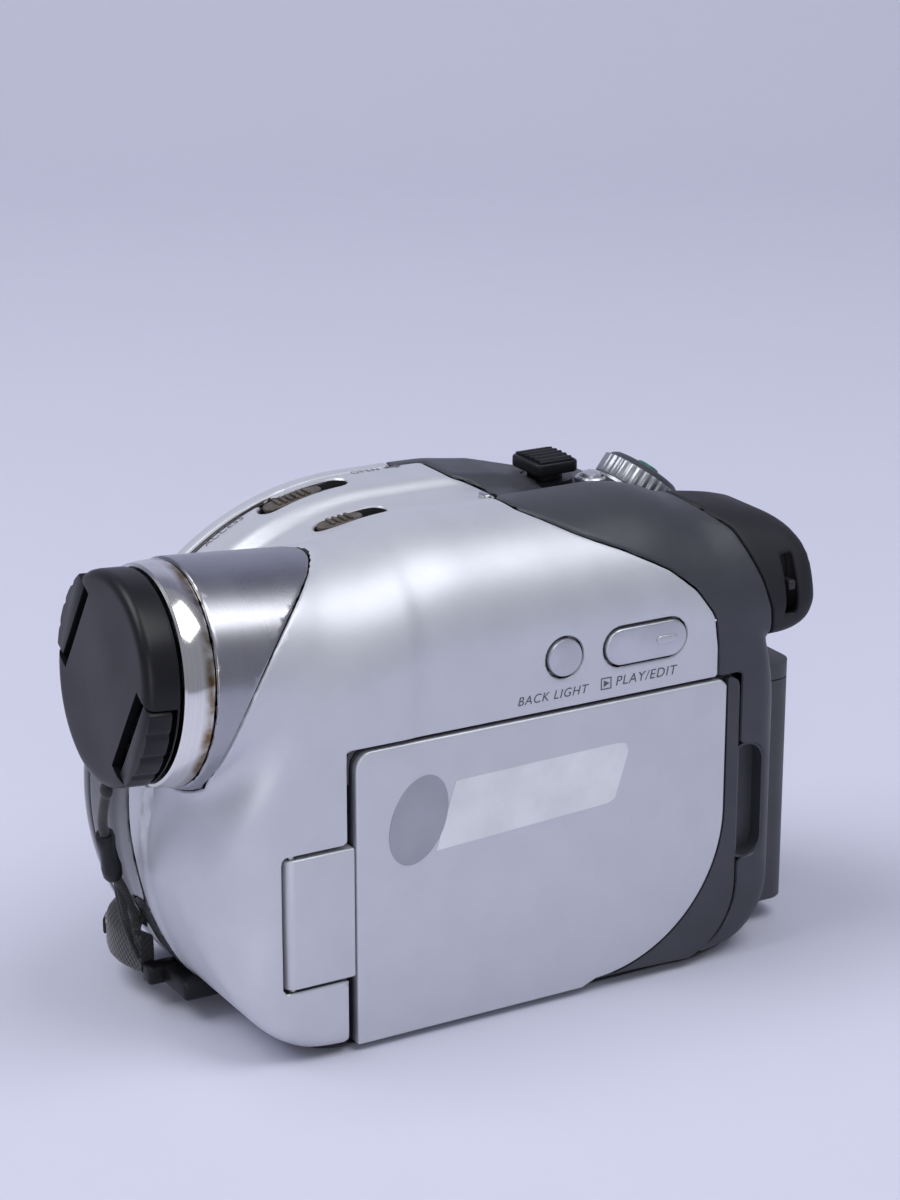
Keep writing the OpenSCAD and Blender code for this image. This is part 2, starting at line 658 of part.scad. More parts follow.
// The rubber takes over from the rear cover behind this line.
module eyecup_zone(g) side_slab(-2.6 - g, 40) polygon([[43.4 - g, 90], [44.2 - g, 87], [51.2 - g, 81],
    [54.2 - g, 72.6], [57.2 - g, 61], [57.6 - g, 57.6 - g], [80, 57.6 - g], [80, 90]]);
module viewfinder_tube() color([0.12, 0.12, 0.13]) translate([eye_x, 0, eye_z]) difference() {
    rod_y(0, 0, 42, 58.6, eye_bore - 0.02);
    rod_y(0, 0, 41, 63, 7.4);
}
module eyecup() color([0.1, 0.1, 0.11]) difference() {
    intersection() {
        front_slab(40, eye_rear) polygon(eye_section());
        side_slab(-10, 40) polygon(eye_side());
        front_slab(40, eye_rear) polygon(front_view(0));
        eyecup_zone(0);
    }
    rod_y(eye_x, eye_z, 40, 90, eye_bore);
    diopter_slot();
}
module diopter_slot() translate([eye_x, 0, eye_z]) union() {
    rod_y(0, 0, 59, 61.4, eye_bore + 0.9);
    block([0, 59, -5.4], [30, 61.4, 5.4]);
}
module viewfinder_optics() color([0.2, 0.22, 0.3]) translate([eye_x, 0, eye_z]) union() {
    rod_y(0, 0, 55.4, 58, 7.4);
    rod_y(0, 0, 42, 43.4, 7.4);
    block([-5, 43.4, -4], [5, 44.4, 4]);
}
module diopter_lever() color([0.16, 0.16, 0.17]) translate([eye_x, 0, eye_z]) difference() {
    union() {
        rod_y(0, 0, 59.4, 61, eye_bore + 0.5);
        block([7, 59.4, -1], [14.9, 61, 1]);
    }
    rod_y(0, 0, 50, 70, 6.6);
}

// ---------- battery and jacks ----------

module battery_pack() color([0.28, 0.28, 0.31]) difference() {
    translate([0, 0, battery_z0]) linear_extrude(battery_h) union() {
        translate([battery_x0, battery_y0]) square([battery_w, battery_d - 4]);
        translate([battery_x0 + 4, battery_y0 + 2]) square([battery_w - 8, battery_d - 2]);
        for (x = [battery_x0 + 4, battery_x1 - 4]) translate([x, battery_y0 + battery_d - 4]) circle(4);
    }
    // grooves that the rails of the bay run in
    for (x = [battery_x0 - 1, battery_x1 - 1]) block([x, battery_y0 + 5, 0], [x + 2, battery_y0 + 7, 60]);
    // pocket over the terminal block
    block([battery_mid - 4.5, battery_y0 - 1, battery_z1 - 12], [battery_mid + 4.5, battery_y0 + 2, battery_z1 + 1]);
}
module battery_terminal() color([0.1, 0.1, 0.1]) union() {
    block([battery_mid - 4.1, battery_y0 - battery_gap, battery_z1 - 11.4],
        [battery_mid + 4.1, battery_y0 - 0.1, battery_z1 - 3.6]);
    for (i = [-1:1]) block([battery_mid + 2.5 * i - 0.4, battery_y0 - 0.2, battery_z1 - 10],
        [battery_mid + 2.5 * i + 0.4, battery_y0 + 0.8, battery_z1 - 6]);
}
module battery_release() color([0.14, 0.14, 0.15]) translate([release_x, rear_len, 36]) union() {
    translate([0, 0.6, 0]) rotate([90, 0, 0]) linear_extrude(3) pill(5.2, 3.8);
    for (i = [-1:1]) block([1.3 * i - 0.3, 0.5, -1.4], [1.3 * i + 0.3, 1.1, 1.4]);
}
module jack_cover() color([0.12, 0.12, 0.13]) intersection() {
    body_form(0);
    union() {
        block([jack_x[0], rear_len - 1.6, 8.3], [jack_x[1], rear_len, 25.4]);
        rod_x(rear_len - 0.8, 25.4, jack_x[0], jack_x[1], 0.8);
    }
}
module jack_block() color([0.2, 0.2, 0.2]) difference() {
    intersection() {
        body_form(wall + 0.05);
        block([jack_x[0] - 0.2, 46.8, 8.1], [jack_x[1] + 0.1, rear_len - 2.2, 26.9]);
    }
    rod_y(-21, 13.4, 48, 70, 2.75);
    rod_y(-21, 21, 50, 70, 1.75);
}

// ---------- disc side ----------

module disc_lid() color("silver") union() {
    lid_shell();
    lid_knuckle();
}
module lid_shell() difference() {
    intersection() {
        difference() {
            body_form(0);
            body_form(wall);
        }
        side_slab(-40, lid_x - 0.3) intersection() {
            lid_circle(0.01);
            translate([-80, lid_low]) square([160, 100]);
        }
    }
    // room for the hinge ears
    block([-40, knuckle_y[0] - 4.6, 0], [lid_x + 1, knuckle_y[1] + 4.6, 5.6]);
}
module lid_knuckle() difference() {
    union() {
        rod_y(knuckle[0], knuckle[1], knuckle_y[0], knuckle_y[1], 2);
        intersection() {
            block([-disc_x, knuckle_y[0], knuckle[1]], [knuckle[0], knuckle_y[1], 8]);
            body_form(0);
        }
    }
    rod_y(knuckle[0], knuckle[1], -60, 60, 1 + run_gap);
}
module lid_pin() color("gainsboro") rod_y(knuckle[0], knuckle[1], knuckle_y[0] - 4, knuckle_y[1] + 4, 1);
// Top view of the belt, and its side view, which falls towards the front lug.
belt_outer = [[-9.6, -54], [-25, -56.6], [-29.6, -55], [-31, -51], [-32, -44], [-36, -31], [-40, -15],
    [-41, 0], [-39.5, 16], [-35.5, 30], [-30.6, 41], [-29.4, 48], [-29.4, 53]];
belt_inner = [[-27.8, 53], [-27.8, 48], [-28.6, 41], [-32.4, 30], [-35.8, 16], [-37, 0], [-36, -15],
    [-32.4, -31], [-29.4, -44], [-28.6, -51], [-24.6, -54.6], [-9.6, -52]];
belt_side = [[-60, 4.6], [-60, 12.4], [-48, 13], [-34, 29], [-15, 36], [15, 41], [34, 42], [44, 38],
    [54, 37], [54, 24], [44, 23], [34, 17], [15, 13], [-15, 7.6], [-34, 6], [-48, 5]];
module grip_belt() color([0.13, 0.13, 0.14]) intersection() {
    linear_extrude(60) polygon(concat(belt_outer, belt_inner));
    side_slab(-60, 0) polygon(belt_side);
}

// ---------- inside ----------

module tripod_bush() color("gainsboro") difference() {
    rod_z(0, 0, 0, 8, 5.5);
    rod_z(0, 0, -1, socket_len, socket_r);
}
module circuit_boards() color("darkgreen") union() {
    block([side_x - 5.4, 4, key_z - 4.5], [side_x - 4.6, 39, key_z + 3.6]);
    for (y = [back_key_y, play_key_y]) rod_x(y, key_z, side_x - 4.6, side_x - 3.8, 1.6);
    block([12, -36, 6], [13.2, 41, 44]);
    block([9.4, -28, 12], [12, -8, 34]);
    block([10.4, 2, 14], [12, 16, 28]);
    rod_x(20, 28, 13.2, 16, 7);
}
module lens_tube() color([0.1, 0.1, 0.11]) lens_frame() difference() {
    union() {
        tube_y(sleeve_front, 17.2, 15.6, 14.4);
        tube_y(16, 17.2, 15, 7.8);
        tube_y(17, 62, lens_bore + 1.2, lens_bore);
    }
    for (s = [-1, 1]) rod_y(s * lens_rod_x, 0, 10, 20, rod_r);
    rod_y(0, lens_screw_z, 10, 20, screw_r + run_gap);
}
module glass_group() color("lightblue") lens_frame() union() {
    difference() {
        rod_y(0, 0, sleeve_front + 0.4, sleeve_front + 4.4, 14.4);
        translate([0, sleeve_front - 21, 0]) sphere(r = 23, $fn = 64);
    }
    difference() {
        rod_y(0, 0, 44, 45.6, lens_bore);
        for (s = [-1, 1]) rod_y(s * lens_rod_x, 0, 40, 50, rod_r);
        rod_y(0, lens_screw_z, 40, 50, screw_r + run_gap);
    }
}
module carriage(y0) color([0.2, 0.2, 0.22]) lens_frame() difference() {
    union() {
        rod_y(0, 0, y0, y0 + 4, 7.6);
        block([-10.7, y0, -2], [10.7, y0 + 4, 2]);
        block([-2, y0, -10.6], [2, y0 + 4, 0]);
    }
    for (s = [-1, 1]) rod_y(s * lens_rod_x, 0, y0 - 1, y0 + 6, rod_r + run_gap);
    rod_y(0, lens_screw_z, y0 - 1, y0 + 6, screw_r + run_gap);
}
module zoom_carriage() carriage(22);
module focus_carriage() carriage(50);
module guide_rods() color("gainsboro") for (s = [-1, 1]) {
    lens_frame() rod_y(s * lens_rod_x, 0, 16, 61, rod_r);
    rod_y(lid_x + 5, spindle_z + s * 12, sled_y - 0.3, sled_y + 14.4 + sled_travel, sled_rod_r);
}
module zoom_screw() color("gainsboro") lens_frame() rod_y(0, lens_screw_z, 16, 45.6, screw_r);
module sled_screw() color("gainsboro")
    rod_y(lid_x + 5, spindle_z - 8, sled_y - 2, sled_y + 16 + sled_travel, screw_r);
module image_sensor() color([0.1, 0.3, 0.15]) lens_frame() union() {
    rod_y(0, 0, 62.02, 63.4, lens_bore + 1.2);
    block([-4, 60.4, -3], [4, 62.1, 3]);
}
module spindle_motor() color([0.5, 0.5, 0.52]) union() {
    difference() {
        rod_x(spindle_y, spindle_z, lid_x + 1.5, -12, 8.6);
        rod_x(spindle_y, spindle_z, -30, -13, spindle_r + run_gap);
    }
    difference() {
        for (y = [sled_y - 2.1, sled_y + 14.4 + sled_travel])
            block([lid_x + 3.4, y, spindle_z - 13.4], [lid_x + 6.6, y + 1.8, spindle_z + 13.4]);
        rod_y(lid_x + 5, spindle_z - 8, 0, 60, screw_r + run_gap);
    }
}
module turntable() color([0.15, 0.15, 0.16]) union() {
    rod_x(spindle_y, spindle_z, lid_x - 1.2, lid_x + 1.2, 8.2);
    rod_x(spindle_y, spindle_z, lid_x - 3, lid_x - 1.2, 6.9);
    rod_x(spindle_y, spindle_z, lid_x + 1.2, -13.4, spindle_r);
}
module pickup_sled() color([0.25, 0.25, 0.28]) difference() {
    union() {
        block([lid_x + 2.4, sled_y, spindle_z - 13.2], [lid_x + 7.6, sled_y + 14, spindle_z + 13.2]);
        rod_x(spindle_y + 22, spindle_z, lid_x - 0.6, lid_x + 2.4, 3);
    }
    for (s = [-1, 1]) rod_y(lid_x + 5, spindle_z + s * 12, 0, 60, sled_rod_r + run_gap);
    rod_y(lid_x + 5, spindle_z - 8, 0, 60, screw_r + run_gap);
}
module case_screws() color("gainsboro") for (p = screw_spots) union() {
    rod_z(p[0], p[1], 0.3, 0.9, 1.8);
    rod_z(p[0], p[1], 0.3, base_t + 1.6, 0.8);
}

left_casing();
rear_cover();
disc_deck();
base_cover();
front_panel();
mic_grille();
barrel_sleeve();
lens_ring();
main_frame();
inner_panel();
strap_lug();
access_lamp();
lens_cap();
cap_clip_left();
cap_clip_right();
cap_springs();
cap_cord();
cord_tab();
screen_cover();
screen_bezel();
lcd_module();
screen_glass();
hinge_block();
hinge_pin();
swivel_shaft();
backlight_button();
play_button();
zoom_lever();
photo_button();
mode_dial();
dial_lock();
record_button();
open_slider();
night_switch();
viewfinder_tube();
eyecup();
viewfinder_optics();
diopter_lever();
battery_pack();
battery_terminal();
battery_release();
jack_cover();
jack_block();
disc_lid();
lid_pin();
grip_belt();
tripod_bush();
circuit_boards();
lens_tube();
glass_group();
zoom_carriage();
focus_carriage();
zoom_screw();
guide_rods();
image_sensor();
spindle_motor();
turntable();
pickup_sled();
sled_screw();
case_screws();
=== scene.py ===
"""Looks of a hand-held disc camcorder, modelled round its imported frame."""

import json
import math

import bmesh
import bpy
import numpy as np
from bpy.props import FloatProperty, FloatVectorProperty, IntProperty, PointerProperty
from mathutils import Matrix, Vector


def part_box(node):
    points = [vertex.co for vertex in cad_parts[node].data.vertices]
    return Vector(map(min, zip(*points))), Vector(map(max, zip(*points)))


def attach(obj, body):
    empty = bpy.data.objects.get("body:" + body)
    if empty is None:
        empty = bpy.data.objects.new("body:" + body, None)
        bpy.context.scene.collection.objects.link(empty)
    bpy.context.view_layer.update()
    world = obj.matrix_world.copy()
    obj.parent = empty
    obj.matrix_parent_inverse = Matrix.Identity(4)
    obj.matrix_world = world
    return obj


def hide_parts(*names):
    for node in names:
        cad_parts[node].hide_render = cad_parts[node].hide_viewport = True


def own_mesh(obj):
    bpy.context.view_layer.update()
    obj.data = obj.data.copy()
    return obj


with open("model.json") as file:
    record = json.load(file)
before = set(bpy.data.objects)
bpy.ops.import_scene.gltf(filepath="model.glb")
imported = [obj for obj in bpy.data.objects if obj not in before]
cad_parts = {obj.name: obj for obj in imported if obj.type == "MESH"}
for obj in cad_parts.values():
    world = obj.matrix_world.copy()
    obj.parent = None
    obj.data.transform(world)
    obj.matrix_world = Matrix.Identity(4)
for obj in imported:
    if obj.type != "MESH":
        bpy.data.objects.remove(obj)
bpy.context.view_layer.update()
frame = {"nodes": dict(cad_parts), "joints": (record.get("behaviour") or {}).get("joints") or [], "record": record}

bl_info = {
    "name": "Disc camcorder",
    "version": (1, 0, 0),
    "blender": (4, 5, 0),
    "location": "View3D > Sidebar > Camcorder",
    "description": "Models the skin, lens, screen, controls and strap of a disc camcorder",
    "category": "Object",
}

# Meshes are shaped in millimetres and turned to metres when they are finished.
MM = 0.001


def box_mm(node):
    """Lowest and highest corner of a CAD node, in millimetres."""
    low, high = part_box(node)
    return Vector(low) / MM, Vector(high) / MM


def joint_axis(name):
    """Direction of a joint of the frame."""
    return Vector(next(j["axis"] for j in frame["joints"] if j["name"] == name)).normalized()


SIDE_X = box_mm("left_casing")[1].x
DISC_X = box_mm("rear_cover")[0].x
TOP_Z = box_mm("left_casing")[1].z
REAR_Y = box_mm("rear_cover")[1].y
PANEL_LOW, PANEL_HIGH = box_mm("screen_bezel")
COVER_LOW, COVER_HIGH = box_mm("screen_cover")
BLOCK_LOW, BLOCK_HIGH = box_mm("hinge_block")
BATTERY_LOW, BATTERY_HIGH = box_mm("battery_pack")

# Radius of the screen's lower rear corner
SCREEN_CORNER = 14
# Round disc housing, in side view
DRUM_R = 51.7
DRUM_Y = -5.9
DRUM_Z = TOP_Z - DRUM_R
# Plane between the casing and the disc lid
LID_X = -22.4
# Rear and underside curves, in side view
REAR_R = 22
CREST_FROM = 30
CREST_R = 29
HEEL_R = 14
CHIN_R = 24
# Foot of the disc lid, top of the base cover, and room round the tripod bush
LID_FOOT = 2.6
BASE_TOP = 1.7
BUSH_R = 3.6
# Polished trim of the lid: inner radius round the disc, rear end and top
RIM_R = 45
RIM_REAR = -30
RIM_TOP = 58
# Roll that runs back from the lens
ROLL_X = 7.3
ROLL_R = 20
# Lens barrel: middle of the cap's face, tilt, and the front of the sleeve behind the ring
CAP_FACE = Vector((7.3, -67.5, 69.2))
LENS_TILT = math.asin(joint_axis("cap_pull").z)
BARREL_R = 19.8
SLEEVE_FRONT = 11.5
# Seam behind the lens ring, which the ring covers
RING_SEAM = SLEEVE_FRONT + 0.7
# Corner of the sleeve, seen from the side: y, z, radius
SLEEVE_ARC = (-14, 49, 40)
# Line between the silver casing and the dark rear cover, seen from the side
SEAM = [(10.2, 110), (10.2, 88.7), (13, 87.6), (19, 84.6), (27, 81.2), (34.6, 77.2), (39.6, 73),
        (43, 68), (44.1, 62), (44.2, 50), (44.2, 22), (35, 14), (35, -20)]
# Dial at the rear top
DIAL_AT = Vector((-13, 51.5, 79.5))
DIAL_TILT = math.radians(38)
# Middles of the round and the long key, side view
BACK_KEY = (11.5, 65.3)
PLAY_KEY = (28.3, 65.3)
# Zoom lever and photo button, top view
LEVER_AT = (-15, 33)
PHOTO_AT = (-12.5, 41.7)
# Slots of the two switches on top: x, y, length
OPEN_SLOT = (-18.3, -16, 17.5)
NIGHT_SLOT = (-4.8, -13.5, 14)
# Turn of the two slots' surfaces towards the front, and their heights
OPEN_LEVEL = (math.radians(12), 87.5)
NIGHT_LEVEL = (math.radians(8), 86.4)
SLOT_WIDTH = 4.7
# Room of the battery: x and y of its low corner, x and z of its high one
BAY_LOW = (BATTERY_LOW.x - 0.4, BATTERY_LOW.y - 0.4)
BAY_HIGH = (BATTERY_HIGH.x + 0.4, BATTERY_HIGH.z + 0.4)
# Eyepiece axis, and the depth of its rim
EYE_X = 12
EYE_Z = 70.5
EYE_REAR = 66.4
EYE_BORE = 8.7
CUP_TOP = 85.7
# Battery catch and jack cover on the rear face
CATCH_AT = (-20.9, 36)
JACK_X = (-24.8, -16.9)
JACK_Z = (8.3, 26)
RECORD_AT = (-19.5, 58)
# Path of the cord from the cap to the lug, as in the frame
CORD_PATH = [(4.5, -65.6, 50.3), (4.1, -65.7, 47.8), (2.7, -65.5, 45.2), (0.6, -65, 42.2),
             (-1.5, -64.2, 39), (-3, -63.2, 36), (-4.2, -62.4, 33), (-5.2, -61.4, 30),
             (-6, -60.2, 27), (-6.8, -58.8, 24.4), (-7.8, -57.6, 22), (-8.8, -56.5, 19.6),
             (-9.8, -55.4, 17.4), (-10.6, -54.7, 15.4), (-11.2, -54.3, 13.4)]

LENS = Matrix.Translation(CAP_FACE) @ Matrix.Rotation(-LENS_TILT, 4, "X")
# The two clips of the cap are turned a little round the lens
CLIPS = LENS @ Matrix.Rotation(math.radians(28), 4, "Y")
DIAL = Matrix.Translation(DIAL_AT) @ Matrix.Rotation(-DIAL_TILT, 4, "X")
# A turned piece's axis becomes world z
STANDING = Matrix.Rotation(math.pi / 2, 4, "X")
# A plate's x, y, z become world y, z, x on the side, x, z, y upright, and -x, z, y on the rear
ON_SIDE = Matrix(((0, 0, 1, 0), (1, 0, 0, 0), (0, 1, 0, 0), (0, 0, 0, 1)))
UPRIGHT = Matrix(((1, 0, 0, 0), (0, 0, 1, 0), (0, 1, 0, 0), (0, 0, 0, 1)))
ON_REAR = Matrix(((-1, 0, 0, 0), (0, 0, 1, 0), (0, 1, 0, 0), (0, 0, 0, 1)))


# ---------- settings that a user would change ----------


class CamcorderSizes(bpy.types.PropertyGroup):
    """Sizes of the modelled pieces."""

    skin_step: FloatProperty(
        name="Skin step", description="Spacing of the points on the body's skin, in millimetres",
        default=1.0, min=0.6, max=2)
    wall: FloatProperty(
        name="Wall", description="Thickness of the plastic shells, in millimetres",
        default=1.4, min=0.8, max=2)
    seam_gap: FloatProperty(
        name="Seam gap", description="Gap between neighbouring shells, in millimetres",
        default=0.28, min=0.1, max=0.8)
    lip: FloatProperty(
        name="Lip", description="Width of the rounding along a shell's edge, in millimetres",
        default=0.4, min=0.1, max=1)
    cord_diameter: FloatProperty(
        name="Cord", description="Diameter of the cap's cord",
        default=1.8 * MM, unit="LENGTH", precision=4)
    belt_thickness: FloatProperty(
        name="Belt thickness", description="Thickness of the padded hand strap, in millimetres",
        default=3.2, min=2, max=5)
    round_steps: IntProperty(
        name="Round steps", description="Steps round a turned piece",
        default=128, min=24, max=256)


class CamcorderColours(bpy.types.PropertyGroup):
    """Colours of the finishes."""

    silver: FloatVectorProperty(
        name="Silver", description="Satin silver paint of the casing",
        subtype="COLOR", default=(0.63, 0.64, 0.68), min=0, max=1)
    dark_grey: FloatVectorProperty(
        name="Dark grey", description="Grey of the rear cover",
        subtype="COLOR", default=(0.058, 0.06, 0.072), min=0, max=1)
    black: FloatVectorProperty(
        name="Black", description="Moulded black plastic",
        subtype="COLOR", default=(0.007, 0.007, 0.009), min=0, max=1)
    sleeve: FloatVectorProperty(
        name="Sleeve", description="Brushed metal of the lens sleeve",
        subtype="COLOR", default=(0.40, 0.40, 0.43), min=0, max=1)
    tarnish: FloatVectorProperty(
        name="Tarnish", description="Brown wear at the rear edge of the lens ring",
        subtype="COLOR", default=(0.20, 0.13, 0.06), min=0, max=1)
    lock: FloatVectorProperty(
        name="Lock", description="Green of the key in the mode dial",
        subtype="COLOR", default=(0.01, 0.17, 0.11), min=0, max=1)
    ink: FloatVectorProperty(
        name="Ink", description="Grey of the lettering",
        subtype="COLOR", default=(0.10, 0.10, 0.12), min=0, max=1)
    floor: FloatVectorProperty(
        name="Floor", description="Pale blue-grey of the floor and the background",
        subtype="COLOR", default=(0.63, 0.635, 0.755), min=0, max=1)


def sizes():
    """Sizes of the running scene."""
    return bpy.context.scene.camcorder_sizes


def colours():
    """Colours of the running scene."""
    return bpy.context.scene.camcorder_colours


# ---------- working with meshes ----------


def deselect():
    """Leaves object mode with nothing selected."""
    if bpy.context.object and bpy.context.object.mode != "OBJECT":
        bpy.ops.object.mode_set(mode="OBJECT")
    bpy.ops.object.select_all(action="DESELECT")


def activate(piece):
    """Selects one piece alone."""
    deselect()
    piece.select_set(True)
    bpy.context.view_layer.objects.active = piece


def named(name):
    """Gives the primitive that was just added its name."""
    piece = bpy.context.object
    piece.name = name
    piece.data.name = name
    return piece


def in_edit(piece, *steps):
    """Runs steps on everything in edit mode."""
    activate(piece)
    bpy.ops.object.mode_set(mode="EDIT")
    bpy.ops.mesh.select_all(action="SELECT")
    for step in steps:
        step()
    bpy.ops.object.mode_set(mode="OBJECT")


def outward(piece):
    """Turns every face outward."""
    in_edit(piece, lambda: bpy.ops.mesh.normals_make_consistent(inside=False))


def apply_all(piece):
    """Applies the modifiers of a piece, in order."""
    activate(piece)
    for modifier in list(piece.modifiers):
        bpy.ops.object.modifier_apply(modifier=modifier.name)


def thicken(piece, wall, offset):
    """Gives an open shell its wall, outward with offset 1 and inward with -1."""
    modifier = piece.modifiers.new("wall", "SOLIDIFY")
    modifier.thickness = wall
    modifier.offset = offset
    modifier.use_even_offset = False
    apply_all(piece)


def open_up(piece, gone):
    """Takes away the faces that a test picks."""
    bm = bmesh.new()
    bm.from_mesh(piece.data)
    faces = [face for face in bm.faces if gone(face.normal)]
    bmesh.ops.delete(bm, geom=faces, context="FACES_ONLY")
    bm.to_mesh(piece.data)
    bm.free()


def bevel(piece, width, segments=3, angle=30):
    """Rounds the sharp edges of a piece."""
    modifier = piece.modifiers.new("bevel", "BEVEL")
    modifier.width = width
    modifier.segments = segments
    modifier.limit_method = "ANGLE"
    modifier.angle_limit = math.radians(angle)
    modifier.use_clamp_overlap = True
    modifier.harden_normals = False
    apply_all(piece)
    return piece


def even_shading(piece):
    """Keeps large flat faces flat next to rounded edges."""
    modifier = piece.modifiers.new("shading", "WEIGHTED_NORMAL")
    modifier.keep_sharp = True
    apply_all(piece)
    return piece


def from_points(name, points, edges=(), faces=()):
    """A new mesh piece from a few points."""
    mesh = bpy.data.meshes.new(name)
    mesh.from_pydata([tuple(p) for p in points], edges, faces)
    piece = bpy.data.objects.new(name, mesh)
    bpy.context.collection.objects.link(piece)
    activate(piece)
    return piece


def turned(name, profile, place=Matrix.Identity(4), steps=None, closed=False):
    """A turned piece: profile holds (radius, distance along the axis +Y)."""
    count = len(profile)
    edges = [(i, i + 1) for i in range(count - 1)]
    if closed:
        edges.append((count - 1, 0))
    piece = from_points(name, [(r, y, 0) for r, y in profile], edges)
    in_edit(
        piece,
        lambda: bpy.ops.mesh.spin(steps=steps or sizes().round_steps, angle=2 * math.pi,
                                  center=(0, 0, 0), axis=(0, 1, 0)),
        lambda: bpy.ops.mesh.select_all(action="SELECT"),
        lambda: bpy.ops.mesh.remove_doubles(threshold=0.002),
        lambda: bpy.ops.mesh.normals_make_consistent(inside=False),
    )
    piece.data.transform(place)
    return piece


def plate(name, outline, low, high, place=Matrix.Identity(4), round_by=0.0, segments=3):
    """A plate: an outline in x and y, extruded from z = low to z = high, with rounded edges."""
    piece = from_points(name, [(u, v, low) for u, v in outline],
                        faces=[tuple(range(len(outline)))])
    in_edit(
        piece,
        lambda: bpy.ops.mesh.extrude_region_move(
            TRANSFORM_OT_translate={"value": (0, 0, high - low)}),
        lambda: bpy.ops.mesh.select_all(action="SELECT"),
        lambda: bpy.ops.mesh.normals_make_consistent(inside=False),
    )
    if round_by:
        bevel(piece, round_by, segments)
    piece.data.transform(place)
    return piece


def block(name, low, high, round_by=0.3, segments=3, place=Matrix.Identity(4)):
    """A block between two corners, with rounded edges."""
    deselect()
    low, high = Vector(low), Vector(high)
    bpy.ops.mesh.primitive_cube_add(size=1, location=(0, 0, 0))
    piece = named(name)
    piece.data.transform(Matrix.Translation((low + high) / 2) @ Matrix.Diagonal((*(high - low), 1)))
    if round_by:
        bevel(piece, round_by, segments)
    piece.data.transform(place)
    return piece


def joined(name, pieces):
    """Joins pieces into one mesh."""
    deselect()
    for piece in pieces:
        piece.select_set(True)
    bpy.context.view_layer.objects.active = pieces[0]
    bpy.ops.object.join()
    return named(name)


def cut_away(piece, cutter, operation="DIFFERENCE"):
    """Cuts one closed mesh with another, which is then removed."""
    modifier = piece.modifiers.new("cut", "BOOLEAN")
    modifier.operation = operation
    modifier.object = cutter
    modifier.solver = "EXACT"
    apply_all(piece)
    bpy.data.objects.remove(cutter, do_unlink=True)
    return piece


def arc(u, v, radius, start, end, count):
    """Points along an arc, with the angles in degrees."""
    angles = np.radians(np.linspace(start, end, count + 1))
    return [(u + radius * math.cos(a), v + radius * math.sin(a)) for a in angles]


def circle(radius, count=48):
    """Outline of a circle round the origin."""
    return arc(0, 0, radius, 0, 360 - 360 / count, count - 1)


def pill(u, v, length, height, turn=0, count=16):
    """Outline of a bar with round ends."""
    half = (length - height) / 2
    points = arc(half, 0, height / 2, -90, 90, count) + arc(-half, 0, height / 2, 90, 270, count)
    c, s = math.cos(math.radians(turn)), math.sin(math.radians(turn))
    return [(u + c * a - s * b, v + s * a + c * b) for a, b in points]


def rounded(low, high, radius, count=6):
    """Outline of a rectangle with round corners."""
    (a, b), (c, d) = low, high
    return (arc(c - radius, b + radius, radius, -90, 0, count)
            + arc(c - radius, d - radius, radius, 0, 90, count)
            + arc(a + radius, d - radius, radius, 90, 180, count)
            + arc(a + radius, b + radius, radius, 180, 270, count))


def settle(piece, body, slot, replaces=(), finish=None, angle=35):
    """Turns a finished piece to metres and gives it its body and its finish, which is the slot's unless another is
    named.
    """
    piece.data.transform(Matrix.Scale(MM, 4))
    piece.data.materials.clear()
    piece.data.materials.append(MATERIALS[finish or slot])
    activate(piece)
    bpy.ops.object.shade_smooth_by_angle(angle=math.radians(angle))
    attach(piece, body)
    if replaces:
        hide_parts(*replaces)
    return piece


# ---------- form of the body ----------


class Profile:
    """Distance to a closed outline, negative inside, read from a fine softened grid."""

    STEP = 0.5
    MARGIN = 14

    def __init__(self, outline, soften=2):
        points = np.array(outline, dtype=float)
        self.low = points.min(0) - self.MARGIN
        counts = ((points.max(0) + self.MARGIN - self.low) / self.STEP).astype(int) + 2
        u = self.low[0] + self.STEP * np.arange(counts[0])
        v = self.low[1] + self.STEP * np.arange(counts[1])
        grid = np.stack(np.meshgrid(u, v, indexing="ij"), -1).reshape(-1, 2)
        values = np.concatenate([self.exact(chunk, points)
                                 for chunk in np.array_split(grid, 1 + len(grid) // 8000)])
        self.grid = values.reshape(counts)
        for _ in range(soften):
            self.blur()

    @staticmethod
    def exact(at, points):
        """Distance from each place to the outline's nearest side."""
        ends = np.roll(points, -1, axis=0)
        along = ends - points
        away = at[:, None] - points
        share = (away * along).sum(-1) / np.maximum((along ** 2).sum(-1), 1e-9)
        off = away - np.clip(share, 0, 1)[..., None] * along
        distance = np.sqrt((off ** 2).sum(-1).min(1))
        above = points[:, 1] > at[:, None, 1]
        crosses = above != (ends[:, 1] > at[:, None, 1])
        rise = np.where(along[:, 1] == 0, 1, along[:, 1])
        reach = points[:, 0] + (at[:, None, 1] - points[:, 1]) * along[:, 0] / rise
        inside = (crosses & (at[:, None, 0] < reach)).sum(1) % 2 == 1
        return np.where(inside, -distance, distance)

    def blur(self):
        """Softens the grid, which rounds its creases."""
        for axis in (0, 1):
            padded = np.pad(self.grid, [(1, 1) if a == axis else (0, 0) for a in (0, 1)], "edge")
            parts = [np.take(padded, range(i, i + self.grid.shape[axis]), axis) for i in range(3)]
            self.grid = (parts[0] + 2 * parts[1] + parts[2]) / 4

    def __call__(self, u, v):
        """Distance at each place, between the grid's points."""
        a = np.clip((u - self.low[0]) / self.STEP, 0, self.grid.shape[0] - 1.001)
        b = np.clip((v - self.low[1]) / self.STEP, 0, self.grid.shape[1] - 1.001)
        i, j = a.astype(int), b.astype(int)
        a, b = a - i, b - j
        near = self.grid[i, j] * (1 - b) + self.grid[i, j + 1] * b
        far = self.grid[i + 1, j] * (1 - b) + self.grid[i + 1, j + 1] * b
        return near * (1 - a) + far * a


def ease(value):
    """Smooth step from 0 to 1."""
    value = np.clip(value, 0, 1)
    return value * value * (3 - 2 * value)


